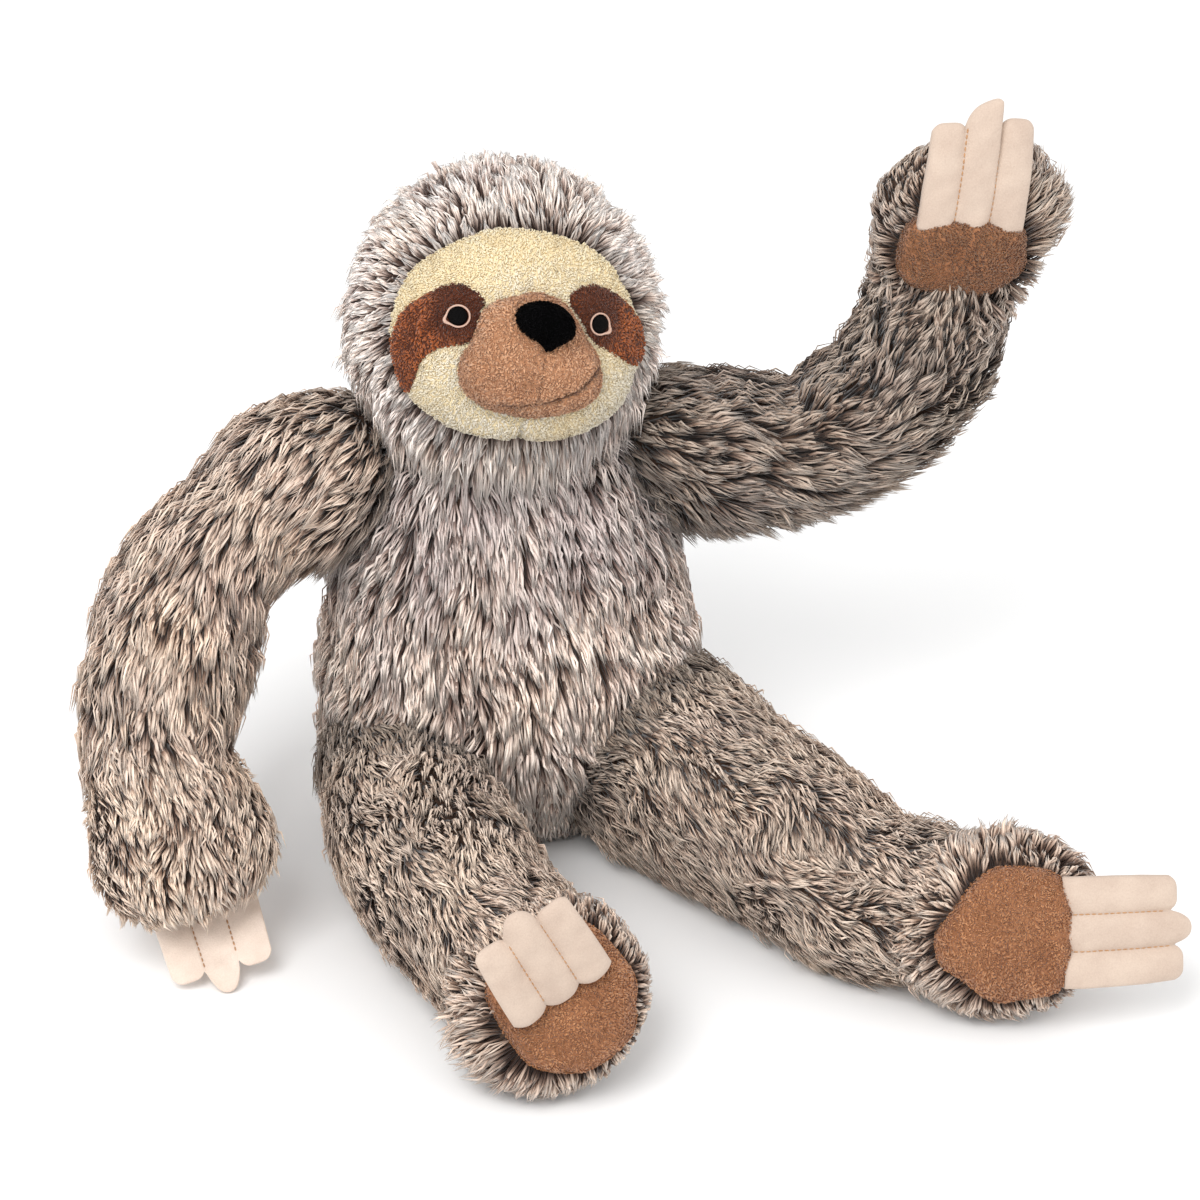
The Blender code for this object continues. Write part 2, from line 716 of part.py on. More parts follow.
def leg(side, hip):
    """The limb and the foot of one leg, which lies along the floor."""
    sign, pose = SIDES[side], LEG_POSES[side]
    toes = Vector(pose["toes"]).normalized()
    sole = square_to(Vector(pose["sole"]), toes)
    across = toes.cross(sole)
    halves = (FOOT_LENGTH / 2, FOOT_WIDTH / 2, FOOT_THICKNESS / 2)
    half_height = math.sqrt(sum((half * axis.z) ** 2 for half, axis in zip(halves, (toes, across, sole))))
    foot_height = half_height - FLAT_DEPTH
    reach = FOOT_REACHES[side]
    lift = math.degrees(math.asin((foot_height - hip.z) / (LEG_LENGTH + reach)))
    directions = [heading(sign, lift, forward) for forward in pose["leg"]]
    limb = Limb(hip, LEG_LENGTH, directions, (HIP_RADIUS, ANKLE_RADIUS), LEG_SWELL, Vector((0, 0, 1)))
    centre = limb.end + limb.last * reach
    centre.z = foot_height
    foot = Paw(limb.end, ANKLE_RADIUS, centre, toes, sole, halves)
    return limb, foot


def clear_scene():
    """Remove what the scene holds."""
    for item in list(bpy.data.objects):
        bpy.data.objects.remove(item)


def make_arm(side, shoulder, carrier, joints):
    """All pieces of one arm; returns the cutter for its room in the trunk."""
    if side == "left":
        upper, fore, hand = arm(side, shoulder)
    else:
        upper, fore, hand = resting_arm(side, shoulder)
    raising = Vector((0, -SIDES[side], 0))
    bending = upper.last.cross(fore.first).normalized()
    closing = hand.tip.cross(hand.face)
    joints[side + "_shoulder"] = (upper.pivot, raising)
    joints[side + "_elbow"] = (fore.pivot, bending)
    joints[side + "_wrist"] = (hand.pivot, closing)
    upper_empty = pivot_empty(side + "_shoulder", upper.pivot, carrier)
    fore_empty = pivot_empty(side + "_elbow", fore.pivot, upper_empty)
    hand_empty = pivot_empty(side + "_wrist", hand.pivot, fore_empty)
    elbow_room = limb_sweep(fore, bending, TURNS[side + "_elbow"], ELBOW_RADIUS * ELBOW_ROOM_SHARE)
    wrist_room = paw_sweep(hand, closing, TURNS[side + "_wrist"])
    make_limb(upper, (side + "_upper_arm_skin", side + "_upper_arm_stuffing"), upper_empty, elbow_room)
    make_limb(fore, (side + "_forearm_skin", side + "_forearm_stuffing"), fore_empty, wrist_room)
    names = [side + part for part in ("_hand_skin", "_hand_stuffing", "_palm_pad", "_hand_claws")]
    pad = (PALM_PAD_REACH - HAND_REACH, PALM_PAD_LENGTH, PALM_PAD_WIDTH)
    make_paw(hand, names, hand_empty, pad, HAND_CLAW_SIZES, False)
    return limb_sweep(upper, raising, TURNS[side + "_shoulder"], SHOULDER_RADIUS * SHOULDER_ROOM_SHARE)


def make_leg(side, hip, carrier, joints):
    """All pieces of one leg; returns the cutter for its room in the trunk."""
    limb, foot = leg(side, hip)
    lifting = limb.first.cross(Vector((0, 0, 1))).normalized()
    pointing = foot.tip.cross(foot.face)
    joints[side + "_hip"] = (limb.pivot, lifting)
    joints[side + "_ankle"] = (foot.pivot, pointing)
    leg_empty = pivot_empty(side + "_hip", limb.pivot, carrier)
    foot_empty = pivot_empty(side + "_ankle", foot.pivot, leg_empty)
    ankle_room = paw_sweep(foot, pointing, TURNS[side + "_ankle"])
    make_limb(limb, (side + "_leg_skin", side + "_leg_stuffing"), leg_empty, ankle_room)
    names = [side + part for part in ("_foot_skin", "_foot_stuffing", "_sole_pad", "_foot_claws")]
    make_paw(foot, names, foot_empty, (0, SOLE_PAD_LENGTH, SOLE_PAD_WIDTH), FOOT_CLAW_SIZES[side], True)
    return limb_sweep(limb, lifting, TURNS[side + "_hip"], HIP_RADIUS * HIP_ROOM_SHARE)


def make_torso(carrier, rooms, head_centre):
    """The trunk's skin, its filling and the bag of pellets in the seat."""
    torso = Torso()
    upright = (Vector((1, 0, 0)), Vector((0, 1, 0)), Vector((0, 0, 1)))

    def cutters(dish_sides, room_sides):
        dish = (clear_radius(HEAD_RADIUS, dish_sides),) * 3
        made = [ellipsoid(head_centre, upright, dish, dish_sides, dish_sides // 2)]
        return made + [room(room_sides) for room in rooms]

    skin = new_object("torso_skin", torso.form(0, BODY_SIDES))
    combine(skin, [torso.form(SKIN_WALL, FILLING_SIDES)] + cutters(DISH_SIDES, SKIN_SIDES))
    finish_piece(skin, "torso_skin", "torso_fur", carrier)
    hip_back = clear_radius(HIP_RADIUS, FILLING_CUTTER_SIDES) - HIP_FORWARD_SHARE * TORSO_DEPTH / 2
    bag_depth = PELLET_BAG_BACK_SHARE * TORSO_DEPTH / 2 - SKIN_WALL - hip_back
    bag_centre = Vector((0, hip_back + bag_depth / 2, PELLET_BAG_LIFT + PELLET_BAG_HEIGHT / 2))
    bag_halves = [size / 2 for size in (PELLET_BAG_WIDTH, bag_depth, PELLET_BAG_HEIGHT)]
    pocket = ellipsoid(bag_centre, upright, [half + GAP for half in bag_halves], CORE_SIDES, CORE_SIDES // 2)
    filling = new_object("torso_stuffing", torso.form(SKIN_WALL + GAP, FILLING_SIDES))
    slit = filling_hole(bag_centre, Vector((0, 1, 0)), FILLING_HOLE_RADIUS)
    slit_end = Vector((0, TORSO_DEPTH / 2 - bag_centre.y, 0))
    for corner in slit.verts:
        if corner.co.y > bag_centre.y:
            corner.co += slit_end
    combine(filling, cutters(FILLING_SIDES, FILLING_CUTTER_SIDES) + [pocket, slit])
    finish_piece(filling, "torso_stuffing", "fibre_filling", carrier)
    bag = new_object("pellet_bag", ellipsoid(bag_centre, upright, bag_halves, CORE_SIDES, CORE_SIDES // 2))
    finish_piece(bag, "pellet_bag", "pellet_cloth", carrier)


def make_head(carrier, head_centre):
    """The head's skin and filling, and every piece of its face."""
    face = Face(head_centre)
    upright = (Vector((1, 0, 0)), Vector((0, 1, 0)), Vector((0, 0, 1)))
    core_radius = HEAD_RADIUS - SKIN_WALL
    hole = filling_hole(head_centre - Vector((0, 0, HEAD_RADIUS)), Vector((0, 0, 1)), NECK_HOLE_RADIUS)
    ball = ellipsoid(head_centre, upright, (HEAD_RADIUS,) * 3, BODY_SIDES, BODY_SIDES // 2)
    skin = new_object("head_skin", ball)
    combine(skin, [face.ball(core_radius, FILLING_SIDES), face.window(0), hole])
    finish_piece(skin, "head_skin", "head_fur", carrier)
    filling = new_object("head_stuffing", face.ball(core_radius - GAP, FILLING_SIDES))
    finish_piece(filling, "head_stuffing", "fibre_filling", carrier)
    panel = new_object("face_panel", face.ball(face.radius, BODY_SIDES))
    combine(panel, [face.window(GAP)], "INTERSECT")
    combine(panel, [face.ball(core_radius, FILLING_SIDES)])
    finish_piece(panel, "face_panel", "face_plush", carrier)
    muzzle = new_object("muzzle", face.muzzle(0, SKIN_SIDES))
    combine(muzzle, [face.muzzle(MUZZLE_WALL, CORE_SIDES), face.ball(face.radius + GAP, BODY_SIDES)])
    finish_piece(muzzle, "muzzle", "muzzle_plush", carrier)
    wad = new_object("muzzle_stuffing", face.muzzle(MUZZLE_WALL + GAP, CORE_SIDES))
    combine(wad, [face.ball(face.radius + GAP, BODY_SIDES)])
    finish_piece(wad, "muzzle_stuffing", "fibre_filling", carrier)
    make_nose(face, carrier)
    make_mouth(face, carrier)
    for side, sign in SIDES.items():
        patch_middle = sign * PATCH_SPACING / 2
        outline = [(patch_middle - sign * across * PATCH_WIDTH, height * PATCH_HEIGHT - PATCH_DROP)
                   for across, height in PATCH_SHARES]
        patch = new_object(side + "_eye_patch", face.patch(outline, face.radius + GAP, PATCH_THICKNESS))
        combine(patch, [face.window(GAP)], "INTERSECT")
        combine(patch, [face.muzzle(-GAP, SKIN_SIDES)])
        finish_piece(patch, side + "_eye_patch", "patch_plush", carrier)
        rim = [(sign * EYE_SPACING / 2 + EYE_RADIUS * math.cos(angle), EYE_RADIUS * math.sin(angle))
               for angle in (2 * math.pi * step / CORE_SIDES for step in range(CORE_SIDES))]
        eye_radius = face.radius + GAP + PATCH_THICKNESS + GAP
        eye = new_object(side + "_eye", face.patch(rim, eye_radius, EYE_THICKNESS, 2))
        finish_piece(eye, side + "_eye", "eye_thread", carrier)


def make_nose(face, carrier):
    """A short-pile nose, wider above than below, seated on the muzzle."""
    middle = face.muzzle_front(0, (NOSE_RISE + MUZZLE_DROP) * 2 / MUZZLE_HEIGHT, 0)
    halves = (NOSE_WIDTH / 2, NOSE_HEIGHT / 2, NOSE_DEPTH / 2)
    mesh = ellipsoid(middle, face.frame, halves, SKIN_SIDES, SKIN_SIDES // 2)
    for corner in mesh.verts:
        offset = corner.co - middle
        across = offset.dot(face.right)
        height = offset.dot(face.up) / halves[1]
        corner.co += face.right * (across * NOSE_TAPER_SHARE * height)
    nose = new_object("nose", mesh)
    combine(nose, [face.muzzle(-GAP, SKIN_SIDES)])
    finish_piece(nose, "nose", "nose_plush", carrier)


def make_mouth(face, carrier):
    """The sewn mouth line: a thread that lies on the muzzle."""
    lift = MOUTH_THREAD_RADIUS + GAP
    points = [face.muzzle_front(across, height, lift) for across, height in MOUTH_SHARES]
    rings = []
    for index, point in enumerate(points):
        before, after = points[max(index - 1, 0)], points[min(index + 1, len(points) - 1)]
        direction = (after - before).normalized()
        across = square_to(face.out, direction)
        rings.append(ring(point, across, direction.cross(across), MOUTH_THREAD_RADIUS, MOUTH_THREAD_RADIUS,
                          THREAD_SIDES))
    finish_piece(new_object("mouth_stitching", loft(rings)), "mouth_stitching", "mouth_thread", carrier)


def build():
    """Build the whole plush; returns each joint's pivot and axis."""
    clear_scene()
    joints = {}
    head_centre = Vector((0, HEAD_SET_BACK, TORSO_HEIGHT - NECK_SINK + HEAD_RADIUS))
    joints["neck"] = (head_centre, Vector((0, 0, 1)))
    seat = pivot_empty("seat", Vector())
    neck = pivot_empty("neck", head_centre, seat)
    shoulder_reach = HEAD_RADIUS + SHOULDER_RADIUS + ARM_SPACING
    angle = math.radians(SHOULDER_ANGLE)
    rooms = []
    for side, sign in SIDES.items():
        outwards = Vector((sign * math.sin(angle), 0, -math.cos(angle)))
        rooms.append(make_arm(side, head_centre + outwards * shoulder_reach, seat, joints))
        hip_spread = sign * HIP_SPREAD_SHARE * TORSO_WIDTH / 2
        hip = Vector((hip_spread, -HIP_FORWARD_SHARE * TORSO_DEPTH / 2, HIP_HEIGHT))
        rooms.append(make_leg(side, hip, seat, joints))
    make_torso(seat, rooms, head_centre)
    make_head(neck, head_centre)
    return joints


JOINTS = build()
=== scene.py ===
# %% [markdown]
# # A seated plush sloth
# The real toy is a long-haired plush that sits on a table and waves. Its fur is a woven backing with tufts of
# fibre, its face is short plush, and its claws are quilted felt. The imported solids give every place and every
# joint. Here each soft form is drawn again as a smooth surface, and the fur is laid on it lock by lock.

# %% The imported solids
import json

import bpy
import numpy as np
from mathutils import Matrix, Vector


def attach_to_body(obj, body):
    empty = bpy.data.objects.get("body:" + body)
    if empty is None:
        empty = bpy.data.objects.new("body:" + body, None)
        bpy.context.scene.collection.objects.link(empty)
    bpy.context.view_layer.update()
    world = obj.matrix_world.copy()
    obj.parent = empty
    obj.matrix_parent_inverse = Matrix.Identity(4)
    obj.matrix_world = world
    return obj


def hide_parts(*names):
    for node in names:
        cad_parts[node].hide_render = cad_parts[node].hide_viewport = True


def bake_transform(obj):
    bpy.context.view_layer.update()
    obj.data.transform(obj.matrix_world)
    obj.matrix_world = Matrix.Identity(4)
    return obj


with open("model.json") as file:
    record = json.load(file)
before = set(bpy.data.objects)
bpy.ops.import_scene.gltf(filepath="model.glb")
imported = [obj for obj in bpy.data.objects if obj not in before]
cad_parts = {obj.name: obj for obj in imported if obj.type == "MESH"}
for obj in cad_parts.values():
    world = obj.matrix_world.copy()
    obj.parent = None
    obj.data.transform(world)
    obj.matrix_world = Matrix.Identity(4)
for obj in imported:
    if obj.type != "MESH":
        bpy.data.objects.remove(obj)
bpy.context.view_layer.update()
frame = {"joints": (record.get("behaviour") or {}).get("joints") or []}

pivots = {joint["name"]: np.array(joint["pos_m"], float) for joint in frame["joints"]}
print("joints:", ", ".join(sorted(pivots)))

# %% [markdown]
# ## Camera
# The photograph looks down on the seated toy from a little to its right. A long lens keeps the limbs in
# proportion, so the camera stands well back.

# %% Camera
MM = 0.001


def unit(vectors):
    """Each vector divided by its length."""
    vectors = np.asarray(vectors, float)
    return vectors / np.maximum(np.linalg.norm(vectors, axis=-1, keepdims=True), 1e-12)


VIEW_AZIMUTH, VIEW_LIFT = np.radians((-11.0, 30.0))
VIEW_TARGET = np.array((0.047, 0.0, 0.113))
VIEW_DISTANCE, VIEW_WIDTH, SENSOR = 1.8, 0.6, 36.0
toward = np.array((np.sin(VIEW_AZIMUTH) * np.cos(VIEW_LIFT), -np.cos(VIEW_AZIMUTH) * np.cos(VIEW_LIFT),
                   np.sin(VIEW_LIFT)))
beside = np.array((np.cos(VIEW_AZIMUTH), np.sin(VIEW_AZIMUTH), 0.0))
camera = bpy.data.objects.new("camera", bpy.data.cameras.new("camera"))
bpy.context.scene.collection.objects.link(camera)
turned = Matrix(np.stack((beside, np.cross(toward, beside), toward), 1)).to_4x4()
camera.matrix_world = Matrix.Translation(Vector(VIEW_TARGET + toward * VIEW_DISTANCE)) @ turned
camera.data.sensor_width = SENSOR
camera.data.lens = SENSOR * VIEW_DISTANCE / VIEW_WIDTH
bpy.context.scene.camera = camera
print("camera at", [round(x, 3) for x in camera.location])

# %% [markdown]
# ## Shader expressions
# Fur, plush and felt need many small sums on colours. Writing them as Python expressions keeps each material
# short: a wire is one output socket, and an operator on it adds the Math node that does the sum.

# %% Wires


class Wire:
    """An output socket of a material's nodes, which can stand in a sum."""

    def __init__(self, socket):
        self.socket = socket
        self.tree = socket.id_data

    def node(self, kind, settings=None, links=None, out=0):
        """Add a node: its settings first (stops fill a ramp), then the values or wires of its inputs."""
        made = self.tree.nodes.new(kind)
        for key, value in (settings or {}).items():
            if key == "stops":
                while len(made.color_ramp.elements) < len(value):
                    made.color_ramp.elements.new(0.5)
                for element, (place, colour) in zip(made.color_ramp.elements, value):
                    element.position, element.color = place, colour
            else:
                setattr(made, key, value)
        for key, value in (links or {}).items():
            if isinstance(value, Wire):
                self.tree.links.new(value.socket, made.inputs[key])
            else:
                made.inputs[key].default_value = value
        return Wire(made.outputs[out])

    def maths(self, operation, *values):
        """The wire of a Math node with wires or numbers as its inputs."""
        return self.node("ShaderNodeMath", {"operation": operation}, dict(enumerate(values)))

    def __add__(self, other):
        return self.maths("ADD", self, other)

    def __sub__(self, other):
        return self.maths("SUBTRACT", self, other)

    def __rsub__(self, other):
        return self.maths("SUBTRACT", other, self)

    def __mul__(self, other):
        return self.maths("MULTIPLY", self, other)

    __radd__, __rmul__ = __add__, __mul__

    def tint(self, factor, other, blend="MIX"):
        """This colour mixed with another by a factor."""
        settings = {"data_type": "RGBA", "blend_type": blend}
        return self.node("ShaderNodeMix", settings, {0: factor, 6: self, 7: other}, 2)


def linear(red, green, blue):
    """A display colour of 0 to 255 as the linear colour that a shader takes."""
    share = np.array((red, green, blue), float) / 255
    value = np.where(share <= 0.04045, share / 12.92, ((share + 0.055) / 1.055) ** 2.4)
    return (*[float(x) for x in value], 1.0)


def new_material(name, roughness, sheen=0.0, gloss=0.12):
    """A Principled material; returns it, its shader and a wire to start sums from."""
    made = bpy.data.materials.new(name)
    made.use_nodes = True
    shader = made.node_tree.nodes["Principled BSDF"]
    shader.inputs["Roughness"].default_value = roughness
    shader.inputs["Sheen Weight"].default_value = sheen
    shader.inputs["Sheen Roughness"].default_value = 0.5
    shader.inputs["Specular IOR Level"].default_value = gloss
    start = Wire(shader.outputs[0])
    return made, shader, start


# %% [markdown]
# ## Floor and light
# A plain white floor stands for the cut-out background. One wide lamp from the upper left and a bright sky give
# the soft shade of a catalogue picture, with darker undersides.

# %% Floor and light
FLOOR_HALF, SKY_STRENGTH = 4.0, 0.95
PAPER_GREY, PAPER_WHITE = (247, 247, 247), (252, 252, 252)
scene = bpy.context.scene
scene.view_settings.view_transform = "Standard"
floor_mesh = bpy.data.meshes.new("floor")
floor_corners = [(x * FLOOR_HALF, y * FLOOR_HALF, 0) for x, y in ((-1, -1), (1, -1), (1, 1), (-1, 1))]
floor_mesh.from_pydata(floor_corners, [], [(0, 1, 2, 3)])
floor = bpy.data.objects.new("floor", floor_mesh)
scene.collection.objects.link(floor)
floor_finish, floor_shader, floor_start = new_material("floor_paper", 0.9)
grain = floor_start.node("ShaderNodeTexNoise", links={"Scale": 3.0, "Detail": 2.0})
paper_stops = [(0.3, linear(*PAPER_GREY)), (0.7, linear(*PAPER_WHITE))]
paper = grain.node("ShaderNodeValToRGB", {"stops": paper_stops}, {0: grain})
paper.tree.links.new(paper.socket, floor_shader.inputs["Base Color"])
floor_mesh.materials.append(floor_finish)

sky = bpy.data.worlds.new("studio")
sky.use_nodes = True
sky.node_tree.nodes["Background"].inputs[0].default_value = (1.0, 1.0, 1.0, 1.0)
sky.node_tree.nodes["Background"].inputs[1].default_value = SKY_STRENGTH
scene.world = sky


def lamp(name, place, size, power):
    """A square soft box that faces the toy."""
    data = bpy.data.lights.new(name, "AREA")
    data.energy, data.size = power, size
    made = bpy.data.objects.new(name, data)
    made.matrix_world = Matrix.Translation(place) @ Vector(place).to_track_quat("Z", "Y").to_matrix().to_4x4()
    scene.collection.objects.link(made)


lamp("key_lamp", (-0.9, -1.3, 2.0), 1.2, 34.0)
lamp("fill_lamp", (1.6, -1.2, 1.3), 1.6, 8.0)

# %% [markdown]
# ## Meshes from whole arrays
# Every piece is a surface S(u, v): u runs round it and v from its first pole to its last. A grid of points on
# it, closed at both poles, is a watertight skin whose faces point outwards.

# %% Mesh makers


def new_piece(name, points, faces, finish, maps=None, attributes=None):
    """An object from points and lists of faces with equal corner counts; maps are per corner."""
    mesh = bpy.data.meshes.new(name)
    corners = np.concatenate([np.asarray(part).ravel() for part in faces])
    sizes = np.concatenate([np.full(len(part), len(part[0])) for part in faces])
    mesh.vertices.add(len(points))
    mesh.vertices.foreach_set("co", np.asarray(points, np.float32).ravel())
    mesh.loops.add(len(corners))
    mesh.loops.foreach_set("vertex_index", corners.astype(np.int32))
    mesh.polygons.add(len(sizes))
    mesh.polygons.foreach_set("loop_start", (np.cumsum(sizes) - sizes).astype(np.int32))
    mesh.polygons.foreach_set("use_smooth", np.ones(len(sizes), bool))
    for key, values in (maps or {}).items():
        mesh.uv_layers.new(name=key).data.foreach_set("uv", np.asarray(values, np.float32).ravel())
    for key, values in (attributes or {}).items():
        made = mesh.attributes.new(key, "FLOAT_VECTOR", "POINT")
        made.data.foreach_set("vector", np.asarray(values, np.float32).ravel())
    mesh.update(calc_edges=True)
    mesh.validate()
    mesh.materials.append(finish)
    item = bpy.data.objects.new(name, mesh)
    scene.collection.objects.link(item)
    return item


def tube_faces(rings, around):
    """Quads between rings of points, and triangles to the two end points, which come after the rings."""
    row, column = np.meshgrid(np.arange(rings - 1), np.arange(around), indexing="ij")
    following = (column + 1) % around
    quads = np.stack((row * around + column, row * around + following,
                      (row + 1) * around + following, (row + 1) * around + column), -1).reshape(-1, 4)
    ring = np.arange(around)
    after = (ring + 1) % around
    last, end = (rings - 1) * around, rings * around
    first_cap = np.stack((after, ring, np.full(around, end)), 1)
    last_cap = np.stack((last + ring, last + after, np.full(around, end + 1)), 1)
    return [quads, first_cap, last_cap]


def closed_skin(name, form, around, along, finish):
    """A closed mesh of a form: rings of points between its two poles."""
    u = np.arange(around) / around
    v = np.arange(1, along) / along
    rings = form(*np.meshgrid(u, v))
    ends = form(np.zeros(2), np.array((0.0, 1.0)))
    points = np.concatenate((rings.reshape(-1, 3), ends))
    return new_piece(name, points, tube_faces(along - 1, around), finish)


def waves(points, size, seed):
    """Soft noise, about -1 to 1: the mean of twelve plane waves of about the given size."""
    random = np.random.default_rng(seed)
    headings = unit(random.normal(size=(12, 3))) * (2 * np.pi / size) * random.uniform(0.6, 1.5, (12, 1))
    phases = random.uniform(0, 2 * np.pi, 12)
    return np.sin(points @ headings.T + phases).sum(-1) / 3.5


def on_ball(u, v):
    """Unit vectors (cos(2 pi u) sin(pi v), sin(2 pi u) sin(pi v), -cos(pi v))."""
    angle, pole = 2 * np.pi * u, np.pi * v
    return np.stack((np.cos(angle) * np.sin(pole), np.sin(angle) * np.sin(pole), -np.cos(pole)), -1)


def ease(share):
    """0 below 0, 1 above 1 and a smooth step between."""
    share = np.clip(share, 0, 1)
    return share * share * (3 - 2 * share)


# %% [markdown]
# ## The stuffed forms
# A stuffed limb is a round sleeve along a bent line, closed by a half ball at both ends. The curve below goes
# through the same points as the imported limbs. A hand or foot is the soft hull of a ball at its joint and a flat
# oval paddle: for each direction, the one that reaches further wins, with a smooth change between them.

# %% Limb curves


def heading(side, lift, forward):
    """Unit direction from degrees of lift above the floor and degrees forward of sideways."""
    lift, forward = np.radians((lift, forward))
    return np.array((side * np.cos(lift) * np.cos(forward), -np.cos(lift) * np.sin(forward), np.sin(lift)))


def limb_points(pivot, length, first, last, radii, swell):
    """Points and radii along one limb: its heading turns evenly from first to last."""
    shares = (np.arange(6) + 0.5) / 6
    cup = radii[1] / 2
    steps = unit(first + (last - first) * shares[:, None]) * (length - cup) / 6
    points = np.concatenate((pivot[None], pivot + np.cumsum(steps, 0)))
    points = np.concatenate((points, points[-1:] + last * cup))
    share = np.append(np.arange(7) / 6, 1.0)
    return points, radii[0] + (radii[1] - radii[0]) * share + swell * np.sin(np.pi * share)


def smooth_curve(points, radii, count=60, reach=5):
    """The polyline sampled evenly and averaged over a few neighbours, with its ends held."""
    along = np.append(0.0, np.cumsum(np.linalg.norm(np.diff(points, axis=0), axis=1)))
    even = np.linspace(0, along[-1], count)
    table = np.column_stack([np.interp(even, along, column) for column in (*points.T, radii)])
    before = 2 * table[:1] - table[reach:0:-1]
    after = 2 * table[-1:] - table[-2:-reach - 2:-1]
    longer = np.concatenate((before, table, after))
    kernel = np.hanning(2 * reach + 3)[1:-1]
    kernel /= kernel.sum()
    return np.column_stack([np.convolve(column, kernel, "valid") for column in longer.T])


class Sleeve:
    """A stuffed limb: its curve, its radius along it, and the frame of each section."""

    def __init__(self, table):
        self.curve, self.radii = table[:, :3], table[:, 3]
        self.along = np.append(0.0, np.cumsum(np.linalg.norm(np.diff(self.curve, axis=0), axis=1)))
        self.tangent = unit(np.gradient(self.curve, self.along, axis=0))
        beam = unit(np.cross(self.tangent[0], self.tangent[-1]))
        self.across = unit(beam - self.tangent * (self.tangent @ beam)[:, None])
        self.up = np.cross(self.tangent, self.across)

    def at(self, table, place):
        """Values of a table with one row for each section, read at places along the limb."""
        return np.stack([np.interp(place, self.along, column) for column in table.T], -1)

    def form(self, first, last, inset):
        """S(u, v) = C(s) + over T + r (cos(2 pi u) A + sin(2 pi u) B), with half balls past both ends."""
        low = np.interp(first, self.along, self.radii) - inset
        high = np.interp(last, self.along, self.radii) - inset
        caps = low * np.pi / 2, high * np.pi / 2

        def surface(u, v):
            arc = v * (caps[0] + last - first + caps[1])
            opening = np.clip(arc / caps[0], 0, 1) * np.pi / 2
            closing = np.clip((arc - caps[0] - (last - first)) / caps[1], 0, 1) * np.pi / 2
            place = first + np.clip(arc - caps[0], 0, last - first)
            over = high * np.sin(closing) - low * np.cos(opening)
            radius = (np.interp(place, self.along, self.radii) - inset) * np.sin(opening) * np.cos(closing)
            angle = 2 * np.pi * u
            tangent = unit(self.at(self.tangent, place))
            round_it = (self.at(self.across, place) * np.cos(angle)[..., None]
                        + self.at(self.up, place) * np.sin(angle)[..., None])
            return self.at(self.curve, place) + tangent * over[..., None] + unit(round_it) * radius[..., None]
        return surface

    def depth(self, points):
        """How far points lie outside the limb, negative inside."""
        return (np.linalg.norm(points[:, None] - self.curve[::2], axis=-1) - self.radii[::2]).min(1)


class Paddle:
    """A hand or foot: the soft hull of a ball at its joint and an oval paddle."""

    SHARPNESS = 260.0

    def __init__(self, pivot, ball, centre, tip, face, halves):
        self.pivot, self.ball, self.centre = np.array(pivot), ball, np.array(centre)
        self.tip = unit(tip)
        self.face = unit(np.array(face) - self.tip * (self.tip @ np.array(face)))
        self.across = np.cross(self.tip, self.face)
        self.axes = np.stack((self.tip, self.across, self.face))
        self.halves = np.array(halves)
        self.refit = np.zeros(3), np.zeros(3)

    def form(self, inset):
        """S(d) = w E(d) + (1 - w) B(d), where w follows which of the two reaches further along d."""
        moved, wider = self.refit
        halves, ball = self.halves + wider - inset, self.ball - inset
        centre = self.centre + moved @ self.axes
        side = np.cross(self.face, self.tip)

        def surface(u, v):
            angle, pole = 2 * np.pi * u, np.pi * v
            around = side * np.cos(angle)[..., None] + np.cross(self.tip, side) * np.sin(angle)[..., None]
            way = around * np.sin(pole)[..., None] - self.tip * np.cos(pole)[..., None]
            local = way @ self.axes.T
            reach = np.linalg.norm(local * halves, axis=-1)
            oval = centre + (local * halves ** 2 / reach[..., None]) @ self.axes
            gain = way @ centre + reach - way @ self.pivot - ball
            share = (1 / (1 + np.exp(-np.clip(gain * self.SHARPNESS, -40, 40))))[..., None]
            return oval * share + (self.pivot + way * ball) * (1 - share)
        return surface

    def local(self, points):
        """Points as distances along tip, across and face from the paddle's middle."""
        return (points - self.centre) @ self.axes.T

    def at(self, tip, across, face):
        """The points at these distances from the paddle's middle."""
        return (self.centre + np.multiply.outer(tip, self.tip) + np.multiply.outer(across, self.across)
                + np.multiply.outer(face, self.face))

    def depth(self, points):
        """About how far points lie outside the paw, negative inside."""
        oval = (np.linalg.norm(self.local(points) / self.halves, axis=-1) - 1) * self.halves.min()
        return np.minimum(oval, np.linalg.norm(points - self.pivot, axis=-1) - self.ball)


# %% The limbs and paws of this toy
SHOULDER, ELBOW, WRIST, HIP, ANKLE = 0.034, 0.037, 0.034, 0.044, 0.038
UPPER_ARM, FOREARM, LEG = 0.109, 0.075, 0.195
HAND_REACH, HAND_HALVES, FOOT_HALVES = 0.038, (0.037, 0.045, 0.026), (0.049, 0.047, 0.027)
RIGHT_ARM_DROP = -5.608

# Side, drop, then the first and last heading of upper arm and forearm, and that of the hand, each as degrees of
# lift and forward, and the way that the palm faces.
ARMS = {
    "left": (1, 0.0, ((-15, 7), (24, 8)), ((60, 12), (80, 30)), (83, 25), (0, -1, 0)),
    "right": (-1, RIGHT_ARM_DROP, ((-8, 20), (-48, 36)), ((-50, 55), (-58, 92)), (-54, 108), (0.1, 0.8, -0.6)),
}

